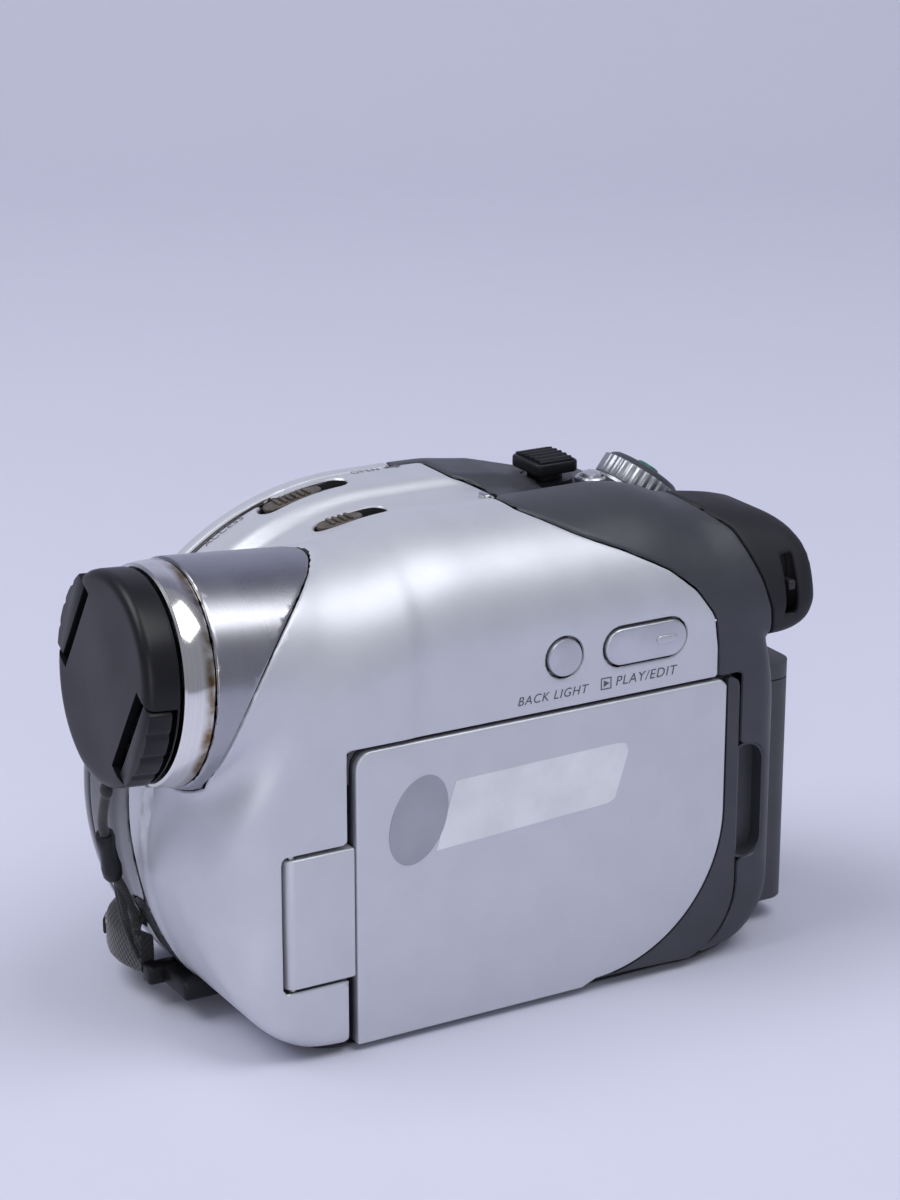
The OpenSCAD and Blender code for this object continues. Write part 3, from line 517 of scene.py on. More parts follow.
def round_both(a, b, radius):
    """Where two forms both hold, with their common edge rounded."""
    a, b = a + radius, b + radius
    return np.minimum(np.maximum(a, b), 0) + np.hypot(np.maximum(a, 0), np.maximum(b, 0)) - radius


def blend_either(a, b, width):
    """Where either of two forms holds, with their common valley filled."""
    share = np.clip(0.5 + 0.5 * (b - a) / width, 0, 1)
    return b * (1 - share) + a * share - width * share * (1 - share)


def underside():
    """Side view from the heel under the body and up the front of the drum."""
    chin_y = DRUM_Y - math.sqrt((DRUM_R - CHIN_R) ** 2 - (DRUM_Z - CHIN_R) ** 2)
    turn = math.degrees(math.asin((DRUM_Z - CHIN_R) / (DRUM_R - CHIN_R)))
    return (arc(REAR_Y - HEEL_R, HEEL_R, HEEL_R, 0, -90, 24)
            + arc(chin_y, CHIN_R, CHIN_R, -90, -180 + turn, 24), turn)


def hood_outline():
    """Side view of the lens half. Its top stands clear of the roll, which has the last word there."""
    low, turn = underside()
    lift = 8
    return (low + arc(DRUM_Y, DRUM_Z, DRUM_R, -180 + turn, -180, 12)
            + arc(DRUM_Y, DRUM_Z + lift, DRUM_R, -180, -270, 60)
            + [(REAR_Y - 4, TOP_Z + lift), (REAR_Y, TOP_Z + lift - 4)])


def drum_outline():
    """Side view of the disc half, lower at its rear."""
    low, turn = underside()
    return (low + arc(DRUM_Y, DRUM_Z, DRUM_R, -180 + turn, -270, 90)
            + [(4, TOP_Z), (12, TOP_Z - 0.2), (22, TOP_Z - 1.6), (33, TOP_Z - 4.6)]
            + arc(REAR_Y - REAR_R, TOP_Z - 5 - REAR_R, REAR_R, 76, 0, 24))


def crest(y):
    """Height of the roll's top line."""
    front = DRUM_Z + np.sqrt(np.maximum(DRUM_R ** 2 - (np.minimum(y, DRUM_Y) - DRUM_Y) ** 2, 1))
    fall = np.sqrt(np.maximum(CREST_R ** 2 - np.clip(y - CREST_FROM, 0, CREST_R) ** 2, 1))
    return front - CREST_R + fall


class BodyForm:
    """Distance to the camcorder's skin, in millimetres, for arrays of points."""

    def __init__(self):
        self.hood_side = Profile(hood_outline())
        self.drum_side = Profile(drum_outline())
        self.cup_rear = Profile(
            arc(ROLL_X, CUP_TOP - ROLL_R, ROLL_R, 3, 93, 30) + arc(7, CUP_TOP - 9, 9, 90, 180, 12)
            + arc(5.5, 66, 7.5, 180, 270, 12) + arc(18.8, 66.5, 8, 270, 350, 12))
        self.cup_side = Profile([(38, CUP_TOP + 1), (47, CUP_TOP + 0.2), (57, 83)]
                                + arc(EYE_REAR - 8, 74, 8, 66, 0, 14)
                                + arc(EYE_REAR - 7, 66, 7, 0, -90, 14) + [(38, 59)])

    def cup(self, p):
        """Outside of the eyecup, in rear view and side view together."""
        x, y, z = p.T
        return round_both(self.cup_rear(x, z), self.cup_side(y, z), 3.5)

    def barrel(self, p):
        """Lens barrel behind the polished ring."""
        x, y, z = (p - np.array(CAP_FACE)).T
        c, s = math.cos(LENS_TILT), math.sin(LENS_TILT)
        along, up = c * y - s * z, s * y + c * z
        ends = np.maximum(SLEEVE_FRONT - along, along - 48)
        return round_both(np.hypot(x, up) - BARREL_R, ends, 0.6)

    def hood(self, p):
        """Half that carries the lens and the screen."""
        x, y, z = p.T
        lift = np.maximum(z - crest(y) + ROLL_R, 0)
        roll = np.hypot(x - ROLL_X, lift) - ROLL_R
        cheek = 3.5 + 11 * ease((-y - 22) / 22) * ease((z - 6) / 24) + 2.5 * ease((y - 40) / 8)
        return round_both(self.hood_side(y, z), roll, cheek)

    def drum(self, p):
        """Half that carries the disc, with the valley next to the roll."""
        x, y, z = p.T
        left, right = DISC_X, -10.5
        middle, half = (left + right) / 2, (right - left) / 2
        edge = np.where(x < middle, 3.2, 3)
        form = round_both(self.drum_side(y, z), np.abs(x - middle) - half, edge)
        low = np.maximum(self.drum_side(y, z + 1.8), self.drum_side(y, z))
        floor = round_both(low, np.abs(x + 8) - 8, 1)
        return blend_either(form, floor, 1.5)

    def __call__(self, p):
        lens_half = blend_either(self.hood(p), self.barrel(p), 4.5)
        lens_half = blend_either(lens_half, np.maximum(self.cup(p), p[:, 1] - REAR_Y - 1), 1.5)
        return blend_either(lens_half, self.drum(p), 1.5)


def slope(field, p, reach=0.15):
    """Gradient of a field at each point."""
    parts = []
    for axis in range(3):
        step = np.zeros(3)
        step[axis] = reach
        parts.append((field(p + step) - field(p - step)) / (2 * reach))
    return np.stack(parts, -1)


def pull_to(field, p, rounds=6):
    """Moves points along the slope until they lie on the field's skin."""
    for _ in range(rounds):
        gradient = slope(field, p)
        size = np.maximum((gradient ** 2).sum(-1), 0.2)
        p = p - gradient * np.clip(field(p) / size, -3, 3)[:, None]
    return p


def read_points(mesh):
    """Points of a mesh, as an array."""
    points = np.empty(len(mesh.vertices) * 3)
    mesh.vertices.foreach_get("co", points)
    return points.reshape(-1, 3)


def even_out(piece, step):
    """Remeshes a closed shape with an even grid."""
    modifier = piece.modifiers.new("even", "REMESH")
    modifier.mode = "VOXEL"
    modifier.voxel_size = step
    apply_all(piece)


def skin_mesh(rough, field, step, rounds=9):
    """Lays a rough closed shape on the field's skin, with evenly spaced points."""
    for _ in range(3):
        even_out(rough, step)
        rough.data.vertices.foreach_set("co", pull_to(field, read_points(rough.data), 8).ravel())
        rough.data.update()
    even_out(rough, step)
    points = pull_to(field, read_points(rough.data), 8)
    ends = np.empty(len(rough.data.edges) * 2, dtype=int)
    rough.data.edges.foreach_get("vertices", ends)
    ends = ends.reshape(-1, 2)
    degree = np.bincount(ends.ravel(), minlength=len(points))[:, None]
    for _ in range(rounds):
        total = np.zeros_like(points)
        np.add.at(total, ends[:, 0], points[ends[:, 1]])
        np.add.at(total, ends[:, 1], points[ends[:, 0]])
        points = pull_to(field, (points + total / degree) / 2, 2)
    rough.data.vertices.foreach_set("co", points.ravel())
    rough.data.update()
    return rough


# ---------- shells cut from the skin ----------


def slice_along(bm, values, close=0.12):
    """Cuts the mesh along the zero line of the values, moving points that lie close to it."""
    layer = bm.verts.layers.float.verify()
    for vert, value in zip(bm.verts, values):
        vert[layer] = 0.0 if abs(value) < close else value
    for edge in list(bm.edges):
        a, b = edge.verts
        if a[layer] * b[layer] < 0:
            share = a[layer] / (a[layer] - b[layer])
            _, vert = bmesh.utils.edge_split(edge, a, share)
            vert[layer] = 0.0
    for face in list(bm.faces):
        marks = [v for v in face.verts if v[layer] == 0.0]
        signs = {v[layer] > 0 for v in face.verts if v[layer] != 0.0}
        if len(marks) == 2 and len(signs) == 2 and not bm.edges.get(marks):
            bmesh.utils.face_split(face, *marks)
    return layer


def coordinates(bm):
    """Points of a mesh, as an array."""
    bm.verts.ensure_lookup_table()
    return np.array([v.co[:] for v in bm.verts])


def skin_part(name, skin, field, keep, wall, lip, inset):
    """The part of the skin where keep is negative: inset by half a gap, lipped and thickened."""
    bm = bmesh.new()
    bm.from_mesh(skin.data)
    values = keep(coordinates(bm)) + inset
    near = np.nonzero(values < 2.5)[0]
    wanted = set(near.tolist())
    bmesh.ops.delete(bm, geom=[v for v in bm.verts if v.index not in wanted], context="VERTS")
    for depth in (0, lip * 0.4, lip):
        layer = slice_along(bm, keep(coordinates(bm)) + inset + depth, close=0.09)
        if depth == 0:
            bmesh.ops.delete(bm, geom=[v for v in bm.verts if v[layer] > 0], context="VERTS")
    points = coordinates(bm)
    depth = np.clip((lip + keep(points) + inset) / lip, 0, 1)
    way = slope(field, points)
    way /= np.maximum(np.linalg.norm(way, axis=1, keepdims=True), 1e-6)
    drop = lip * (1 - np.sqrt(np.maximum(1 - depth ** 2, 0)))
    for vert, point, move, amount in zip(bm.verts, points, way, drop):
        vert.co = Vector(point - move * amount)
    loose = [v for v in bm.verts if not v.link_faces]
    bmesh.ops.delete(bm, geom=loose, context="VERTS")
    bmesh.ops.remove_doubles(bm, verts=bm.verts, dist=0.01)
    mesh = bpy.data.meshes.new(name)
    bm.to_mesh(mesh)
    bm.free()
    piece = bpy.data.objects.new(name, mesh)
    bpy.context.collection.objects.link(piece)
    thicken(piece, wall, -1)
    return piece


def extra(*fields):
    """Where any of the fields is positive the result is positive: the parts left after cuts."""
    return np.maximum.reduce(fields)


def box_hole(p, low, high, radius=0):
    """Positive inside a box with rounded corners, in two of the three axes."""
    middle = (np.array(low) + np.array(high)) / 2
    half = (np.array(high) - np.array(low)) / 2 - radius
    away = np.abs(p - middle) - half
    return radius - np.hypot(np.maximum(away[:, 0], 0), np.maximum(away[:, 1], 0)) \
        - np.minimum(np.maximum(away[:, 0], away[:, 1]), 0)


def round_hole(u, v, middle, radius):
    """Positive inside a circle."""
    return radius - np.hypot(u - middle[0], v - middle[1])


def pill_hole(u, v, length, height):
    """Positive inside a bar with round ends that lies along u."""
    return height / 2 - np.hypot(np.maximum(np.abs(u) - (length - height) / 2, 0), v)


class Layout:
    """Fields that tell which shell a point of the skin belongs to."""

    def __init__(self):
        seam = SEAM + [(-200, -20), (-200, 110)]
        self.seam = Profile([(max(y, -90), z) for y, z in seam], soften=3)
        self.eye = Profile([(43.4, 92), (44.2, 87), (51.2, 81), (54.2, 72.6), (57.2, 61),
                            (57.6, 57.6), (90, 57.6), (90, 92)], soften=1)
        self.grille = Profile([(-12, 20), (1.5, 21.5), (9.5, 13), (13, 8), (-4, 7)], soften=3)
        self.screen = Profile(self.screen_outline(PANEL_LOW.y - 1.4, PANEL_HIGH.y + 0.5,
                                                  PANEL_HIGH.z + 0.5), soften=0)

    @staticmethod
    def screen_outline(front, rear, top):
        """Outline of the screen panel in side view, with its round corner under the rear."""
        middle = (PANEL_HIGH.y - SCREEN_CORNER, PANEL_LOW.z + SCREEN_CORNER)
        corner = arc(*middle, rear - middle[0], -90, 0, 24)
        return [(front, top), (front, corner[0][1]), *corner, (rear, top)]

    def in_front(self, p):
        """Negative on the casing's side of the rear cover's seam."""
        return self.seam(p[:, 1], p[:, 2])

    def in_lid(self, p):
        """Negative in the lid over the disc."""
        x, y, z = p.T
        circle = np.hypot(y - DRUM_Y, z - DRUM_Z) - DRUM_R - 0.4 - 3 * ease((6 - y) / 5)
        return extra(x - LID_X, circle, LID_FOOT - z)

    def in_lamp(self, p):
        """Negative in the lamp's window along the lid."""
        x, y, z = p.T
        return extra(np.abs(x - LID_X - 0.75) - 0.65, np.abs(y + 31) - 10, 60 - z)

    def in_rim(self, p):
        """Negative in the polished trim along the lid's front rim."""
        _, y, z = p.T
        reach = np.hypot(y - DRUM_Y, z - DRUM_Z)
        return extra(self.in_lid(p), RIM_R - reach, y - RIM_REAR, z - RIM_TOP)

    def lid(self, p):
        """Keeps the lid without its trim."""
        return extra(self.in_lid(p), -self.in_rim(p))

    def in_grille(self, p):
        """Negative in the microphone's grille at the foot of the front panel."""
        return extra(self.grille(p[:, 0], p[:, 2]), self.in_front_panel(p) + 1)

    def in_base(self, p):
        """Negative in the base cover."""
        return p[:, 2] - BASE_TOP

    def in_sleeve(self, p):
        """Negative in the brushed sleeve round the barrel."""
        x, y, z = p.T
        radius = SLEEVE_ARC[2]
        outside = radius - np.hypot(y - SLEEVE_ARC[0], z - SLEEVE_ARC[1])
        along, away = self.round_lens(p)
        bulge = away - 0.6 - 3.4 * ease((x - 2) / 12) * ease((z - 50) / 9)
        return extra(outside, bulge, along - 47, y - 9.8, SLEEVE_ARC[1] - 1.5 - z,
                     RING_SEAM - along)

    @staticmethod
    def round_lens(p):
        """Depth of each point behind the cap's face, and its distance outside the barrel."""
        x, y, z = (p - np.array(CAP_FACE)).T
        c, s = math.cos(LENS_TILT), math.sin(LENS_TILT)
        return c * y - s * z, np.hypot(x, s * y + c * z) - BARREL_R

    def behind_ring(self, p):
        """Positive on the barrel's end, which the lens ring covers."""
        along, away = self.round_lens(p)
        return np.minimum(RING_SEAM - along, 0.6 - away)

    def in_front_panel(self, p):
        """Negative in the polished panel under the barrel."""
        x, y, z = p.T
        foot = 0.851 * (x - 22) + 0.525 * (z + 1)
        top = 0.986 * (x + 7) + 0.164 * (z - 46)
        return extra(foot, top, y + 34, 2.3 - z)

    def screen_room(self, p):
        """Positive in the recess of the screen."""
        return np.minimum(-self.screen(p[:, 1], p[:, 2]), p[:, 0] - 16)

    def hinge_room(self, p):
        """Positive in the recess of the hinge block."""
        hole = box_hole(p[:, 1:], (BLOCK_LOW.y - 0.4, BLOCK_LOW.z - 0.4),
                        (BLOCK_HIGH.y + 1.4, BLOCK_HIGH.z + 0.4), 0.8)
        return np.minimum(hole, p[:, 0] - 14)

    def key_holes(self, p):
        """Positive in the two key holes of the side."""
        x, y, z = p.T
        small = round_hole(y, z, BACK_KEY, 3.75)
        long = pill_hole(y - PLAY_KEY[0], z - PLAY_KEY[1], 17.4, 7.3)
        return np.minimum(np.maximum(small, long), x - 20)

    def slot_holes(self, p):
        """Positive in the two switch slots of the top."""
        x, y, z = p.T
        slots = [pill_hole(y - at_y, x - at_x, length, SLOT_WIDTH)
                 for at_x, at_y, length in (OPEN_SLOT, NIGHT_SLOT)]
        return np.minimum(np.maximum(*slots), z - 75)

    def battery_bay(self, p):
        """Positive in the battery's room, which is open to the rear, the side and below."""
        hole = box_hole(p[:, ::2], (BAY_LOW[0], -30), BAY_HIGH, 2)
        return np.minimum(hole, p[:, 1] - BAY_LOW[1])

    def scoop(self, p):
        """Positive in the finger scoop behind the screen."""
        return np.minimum(box_hole(p[:, 1:], (44, 19.5), (54.8, 41.5), 3), p[:, 0] - 14)

    def dial_room(self, p):
        """Positive where the dial's pocket opens."""
        local = (p - np.array(DIAL_AT))
        c, s = math.cos(DIAL_TILT), math.sin(DIAL_TILT)
        up = s * local[:, 1] + c * local[:, 2]
        back = c * local[:, 1] - s * local[:, 2]
        return np.minimum(8.7 - np.hypot(local[:, 0], back), up + 6)

    def lever_room(self, p):
        """Positive round the zoom lever's neck."""
        x, y, z = p.T
        return np.minimum(round_hole(x, y, LEVER_AT, 4.4), z - 75)

    def photo_room(self, p):
        """Positive round the photo button."""
        x, y, z = p.T
        return np.minimum(round_hole(x, y, PHOTO_AT, 2.9), z - 72)

    def eye_room(self, p):
        """Positive in the eyecup's corner."""
        return np.minimum(-self.eye(p[:, 1], p[:, 2]), p[:, 0] + 2.6)

    def record_room(self, p):
        """Positive round the record button of the rear face."""
        x, y, z = p.T
        return np.minimum(round_hole(x, z, RECORD_AT, 3.9), y - 50)

    def catch_room(self, p):
        """Positive in the battery catch's slot."""
        x, y, z = p.T
        return np.minimum(pill_hole(x - CATCH_AT[0], z - CATCH_AT[1], 8, 4.8), y - 50)

    def jack_room(self, p):
        """Positive under the jack cover."""
        hole = box_hole(p[:, ::2], (JACK_X[0] - 0.3, JACK_Z[0] - 0.3),
                        (JACK_X[1] + 0.3, JACK_Z[1] + 0.9), 1.2)
        return np.minimum(hole, p[:, 1] - 48)

    def left_casing(self, p):
        """Keeps the silver casing."""
        return extra(self.in_front(p), -self.in_lid(p), -self.in_base(p), -self.in_sleeve(p),
                     -self.in_front_panel(p), -self.in_lamp(p), self.screen_room(p),
                     self.hinge_room(p), self.key_holes(p), self.slot_holes(p),
                     self.behind_ring(p), LID_X - p[:, 0])

    def rear_cover(self, p):
        """Keeps the dark rear cover."""
        flank = extra(p[:, 0] - LID_X, 4 - p[:, 1])
        behind = np.minimum(-self.in_front(p), flank)
        return extra(behind, -self.in_lid(p), -self.in_base(p), self.battery_bay(p),
                     self.screen_room(p), self.scoop(p), self.dial_room(p), self.lever_room(p),
                     self.photo_room(p), self.eye_room(p), self.record_room(p),
                     self.catch_room(p), self.jack_room(p), self.slot_holes(p))

    def base_cover(self, p):
        """Keeps the base cover."""
        x, y, z = p.T
        under_lid = np.where(x < LID_X - 0.6, z - 0.5, -9)
        return extra(self.in_base(p), self.battery_bay(p), self.screen_room(p), under_lid,
                     round_hole(x, y, (0, 0), BUSH_R))

    def sleeve(self, p):
        """Keeps the sleeve."""
        return extra(self.in_sleeve(p), -self.in_lid(p))

    def front_panel(self, p):
        """Keeps the polished front panel."""
        return extra(self.in_front_panel(p), -self.in_sleeve(p), -self.in_grille(p),
                     self.behind_ring(p), LID_X - p[:, 0])


# ---------- finishes ----------


def shader_group(name, inputs, outputs):
    """An empty node group with its sockets: inputs hold (name, kind, default)."""
    group = bpy.data.node_groups.new(name, "ShaderNodeTree")
    for label, kind, value in inputs:
        socket = group.interface.new_socket(name=label, in_out="INPUT", socket_type=kind)
        socket.default_value = value
    for label, kind in outputs:
        group.interface.new_socket(name=label, in_out="OUTPUT", socket_type=kind)
    group.nodes.new("NodeGroupInput")
    group.nodes.new("NodeGroupOutput")
    return group


def add_node(tree, kind, sockets=None, **settings):
    """Adds a node; socket values that are sockets themselves are linked."""
    node = tree.nodes.new(kind)
    for label, value in settings.items():
        setattr(node, label, value)
    for label, value in (sockets or {}).items():
        if isinstance(value, bpy.types.NodeSocket):
            tree.links.new(value, node.inputs[label])
        else:
            node.inputs[label].default_value = value
    return node


def object_point(tree):
    """Place of the shaded point in the mesh."""
    return add_node(tree, "ShaderNodeTexCoord").outputs["Object"]


def product(tree, a, b, clamp=False):
    """Multiplies two values."""
    return add_node(tree, "ShaderNodeMath", {0: a, 1: b}, operation="MULTIPLY",
                    use_clamp=clamp).outputs[0]


def mapped_range(tree, value, low, high, to_low, to_high):
    """Maps a value from one range to another."""
    return add_node(tree, "ShaderNodeMapRange", {
        "Value": value, "From Min": low, "From Max": high, "To Min": to_low,
        "To Max": to_high}).outputs["Result"]


def make_groups():
    """Effects that several finishes share."""
    group = shader_group(
        "Patches", [("Scale", "NodeSocketFloat", 60.0), ("Low", "NodeSocketFloat", 0.0),
                    ("High", "NodeSocketFloat", 1.0)], [("Value", "NodeSocketFloat")])
    inputs, output = group.nodes["Group Input"], group.nodes["Group Output"]
    noise = add_node(group, "ShaderNodeTexNoise", {
        "Vector": object_point(group), "Scale": inputs.outputs["Scale"], "Detail": 4.0})
    group.links.new(mapped_range(group, noise.outputs["Fac"], 0.35, 0.65,
                                 inputs.outputs["Low"], inputs.outputs["High"]),
                    output.inputs["Value"])

    group = shader_group(
        "Grain", [("Scale", "NodeSocketFloat", 3000.0), ("Strength", "NodeSocketFloat", 0.05)],
        [("Normal", "NodeSocketVector")])
    inputs, output = group.nodes["Group Input"], group.nodes["Group Output"]
    noise = add_node(group, "ShaderNodeTexNoise", {
        "Vector": object_point(group), "Scale": inputs.outputs["Scale"], "Detail": 2.0})
    bump = add_node(group, "ShaderNodeBump", {
        "Height": noise.outputs["Fac"], "Strength": inputs.outputs["Strength"],
        "Distance": 0.1 * MM})
    group.links.new(bump.outputs["Normal"], output.inputs["Normal"])

    group = shader_group(
        "Turned lines", [("Fineness", "NodeSocketFloat", 6000.0)],
        [("Value", "NodeSocketFloat")])
    inputs, output = group.nodes["Group Input"], group.nodes["Group Output"]
    tilted = add_node(group, "ShaderNodeVectorRotate", {
        "Vector": object_point(group), "Angle": LENS_TILT}, rotation_type="X_AXIS")
    along = add_node(group, "ShaderNodeSeparateXYZ", {"Vector": tilted.outputs["Vector"]})
    scaled = product(group, along.outputs["Y"], inputs.outputs["Fineness"])
    lines = add_node(group, "ShaderNodeTexNoise", {
        "W": scaled, "Scale": 1.0, "Detail": 3.0}, noise_dimensions="1D")
    group.links.new(lines.outputs["Fac"], output.inputs["Value"])

    group = shader_group(
        "Weave", [("Threads", "NodeSocketFloat", 900.0)],
        [("Value", "NodeSocketFloat"), ("Normal", "NodeSocketVector")])
    inputs, output = group.nodes["Group Input"], group.nodes["Group Output"]
    point = add_node(group, "ShaderNodeSeparateXYZ", {"Vector": object_point(group)})
    across = add_node(group, "ShaderNodeMath", {0: point.outputs["X"], 1: point.outputs["Y"]})
    waves = []
    for place in (across.outputs[0], point.outputs["Z"]):
        angle = product(group, product(group, place, inputs.outputs["Threads"]), 2 * math.pi)
        wave = add_node(group, "ShaderNodeMath", {0: angle}, operation="SINE")
        waves.append(wave.outputs[0])
    value = mapped_range(group, product(group, *waves), -1, 1, 0, 1)
    bump = add_node(group, "ShaderNodeBump", {"Height": value, "Strength": 0.6,
                                              "Distance": 0.2 * MM})
    group.links.new(value, output.inputs["Value"])
    group.links.new(bump.outputs["Normal"], output.inputs["Normal"])


def use_group(tree, name, sockets=None):
    """Adds a shared effect to a finish."""
    node = tree.nodes.new("ShaderNodeGroup")
    node.node_tree = bpy.data.node_groups[name]
    for label, value in (sockets or {}).items():
        node.inputs[label].default_value = value
    return node


def finish_of(name, colour, metal=0.0, rough=0.4, rough_to=None, patches=60, mottle=0.06,
              grain=0.0, grain_scale=3000, coat=0.0, lines=0, weave=0, sheen=0.0, shine=0.5):
    """A finish: one colour, slightly mottled, with uneven gloss and fine grain."""
    material = bpy.data.materials.new(name)
    material.use_nodes = True
    tree = material.node_tree
    shader = tree.nodes["Principled BSDF"]
    shader.inputs["Metallic"].default_value = metal
    shader.inputs["Coat Weight"].default_value = coat
    shader.inputs["Coat Roughness"].default_value = 0.12
    shader.inputs["Sheen Weight"].default_value = sheen
    shader.inputs["Specular IOR Level"].default_value = shine
    tone = use_group(tree, "Patches", {"Scale": patches * 2.3, "Low": 1 - mottle,
                                       "High": 1 + mottle}).outputs["Value"]
    if lines or weave:
        streak = use_group(tree, "Turned lines" if lines else "Weave",
                           {"Fineness": lines} if lines else {"Threads": weave})
        tone = product(tree, tone, mapped_range(tree, streak.outputs["Value"],
                                                0.3, 0.7, 0.86, 1.1))
        if weave:
            tree.links.new(streak.outputs["Normal"], shader.inputs["Normal"])
    tinted = add_node(tree, "ShaderNodeVectorMath", {0: tuple(colour)[:3]}, operation="SCALE")
    tree.links.new(tone, tinted.inputs["Scale"])
    tree.links.new(tinted.outputs["Vector"], shader.inputs["Base Color"])
    gloss = use_group(tree, "Patches", {"Scale": patches, "Low": rough,
                                        "High": rough_to or rough * 1.25})
    tree.links.new(gloss.outputs["Value"], shader.inputs["Roughness"])
    if grain:
        bump = use_group(tree, "Grain", {"Scale": grain_scale, "Strength": grain})
        tree.links.new(bump.outputs["Normal"], shader.inputs["Normal"])
    return material


def glassy(name, colour, rough=0.05):
    """Dark coated glass."""
    material = finish_of(name, colour, rough=rough, mottle=0.02)
    shader = material.node_tree.nodes["Principled BSDF"]
    shader.inputs["Coat Weight"].default_value = 1
    shader.inputs["Coat Roughness"].default_value = 0.02
    shader.inputs["Coat Tint"].default_value = (0.7, 0.75, 1, 1)
    return material


def ring_metal():
    """Polished metal that has worn brown along its rear edge."""
    material = finish_of("ring_chrome", (0.80, 0.79, 0.77), metal=1, rough=0.1, rough_to=0.17,
                         lines=9000, mottle=0.03)
    tree = material.node_tree
    shader = tree.nodes["Principled BSDF"]
    clean = shader.inputs["Base Color"].links[0].from_socket
    tilted = add_node(tree, "ShaderNodeVectorRotate", {
        "Vector": object_point(tree), "Center": tuple(CAP_FACE * MM), "Angle": LENS_TILT},
        rotation_type="X_AXIS")
    along = add_node(tree, "ShaderNodeSeparateXYZ", {"Vector": tilted.outputs["Vector"]})
    rear = (CAP_FACE.y + SLEEVE_FRONT) * MM
    worn = mapped_range(tree, along.outputs["Y"], rear - 1.6 * MM, rear - 0.3 * MM, 0, 1)
    patch = use_group(tree, "Patches", {"Scale": 240, "Low": 0.15, "High": 1.3})
    amount = product(tree, worn, patch.outputs["Value"], clamp=True)
    mix = add_node(tree, "ShaderNodeMix", {
        "Factor": amount, "B": (*colours().tarnish, 1)}, data_type="RGBA")
    tree.links.new(clean, mix.inputs["A"])
    tree.links.new(mix.outputs["Result"], shader.inputs["Base Color"])
    return material


MATERIALS = {}


def make_materials():
    """One finish for each material slot of the record."""
    make_groups()
    tones = colours()
    looks = {
        "silver_shell": dict(colour=tones.silver, metal=0.6, rough=0.44, rough_to=0.48, grain=0.2,
            grain_scale=4200, mottle=0.02),
        "grey_shell": dict(colour=tones.dark_grey, metal=0.35, rough=0.42, grain=0.12,
            grain_scale=5000),
        "deck_plate": dict(colour=(0.09, 0.09, 0.10), rough=0.5, grain=0.1),
        "black_shell": dict(colour=tones.black, rough=0.3, rough_to=0.42, grain=0.1, shine=0.3),
        "black_gloss": dict(colour=(0.008, 0.008, 0.010), rough=0.08, coat=0.6),
        "lamp": dict(colour=(0.03, 0.022, 0.02), rough=0.12, coat=0.8),
        "bright_sleeve": dict(colour=tones.sleeve, metal=1, rough=0.26, rough_to=0.32, lines=9000,
            mottle=0.03),
        "steel": dict(colour=(0.56, 0.57, 0.58), metal=1, rough=0.25, mottle=0.04),
        "bright_key": dict(colour=(0.56, 0.57, 0.61), metal=0.8, rough=0.32),
        "green_key": dict(colour=tones.lock, metal=0.3, rough=0.25, coat=0.5),
        "switch_brown": dict(colour=(0.10, 0.085, 0.07), metal=0.3, rough=0.45, mottle=0.3,
            patches=300),
        "soft_rubber": dict(colour=(0.015, 0.015, 0.019), rough=0.5, grain=0.25, grain_scale=2600,
            shine=0.3),
        "tube_black": dict(colour=(0.015, 0.015, 0.017), rough=0.4, grain=0.1),
        "battery_grey": dict(colour=(0.055, 0.057, 0.066), rough=0.45, grain=0.2,
            grain_scale=2500),
        "webbing": dict(colour=(0.020, 0.020, 0.022), rough=0.75, weave=750, sheen=0.3),
        "mic_grille": dict(colour=(0.02, 0.02, 0.022), rough=0.5, weave=650),
        "cord_black": dict(colour=(0.014, 0.014, 0.015), rough=0.6, weave=1500, sheen=0.2),
        "board_green": dict(colour=(0.02, 0.10, 0.05), rough=0.4, mottle=0.2, patches=200),
        "dial_metal": dict(colour=(0.34, 0.35, 0.38), metal=0.8, rough=0.34),
        "ink": dict(colour=tones.ink, rough=0.5),
        "label": dict(colour=(0.74, 0.75, 0.78), rough=0.3, coat=0.3),
        "label_tone": dict(colour=(0.33, 0.34, 0.39), rough=0.3, coat=0.3),
        "pale_thread": dict(colour=(0.45, 0.45, 0.46), rough=0.8),
        "dark_well": dict(colour=(0.02, 0.02, 0.022), rough=0.6),
    }
    for name, look in looks.items():
        MATERIALS[name] = finish_of(name, **look)
    MATERIALS["ring_chrome"] = ring_metal()
    MATERIALS["optic"] = glassy("optic", (0.015, 0.02, 0.045))
    slots = {part["node"]: part["material_slot"] for part in subparts()}
    for node, piece in frame["nodes"].items():
        finish = MATERIALS.get(slots.get(node))
        if finish and piece.material_slots:
            for place in piece.material_slots:
                place.material = finish


def subparts():
    """The record's list of sub-parts."""
    found = [frame["record"]]
    while found:
        item = found.pop()
        if isinstance(item, dict):
            if isinstance(item.get("subparts"), list):
                return item["subparts"]
            found.extend(item.values())
    return []


# ---------- pieces ----------


def well(name, outline, low, high, place, material="dark_well", wall=0.5):
    """The lining of a recess: an outline with walls and a floor, open at the top."""
    piece = plate(name, outline, low, high, place)
    top = (place.to_3x3() @ Vector((0, 0, 1))).normalized()
    open_up(piece, lambda normal: normal.dot(top) > 0.99)
    thicken(piece, wall, 1)
    return settle(piece, "casing", "grey_shell", finish=material)


def on_slot(slot, level, shift=(0, 0, 0)):
    """Place of a piece that lies along one of the two switch slots on top."""
    return (Matrix.Translation((slot[0], slot[1], level[1])) @ Matrix.Rotation(level[0], 4, "X")
            @ Matrix.Translation(shift) @ Matrix.Rotation(math.pi / 2, 4, "Z"))


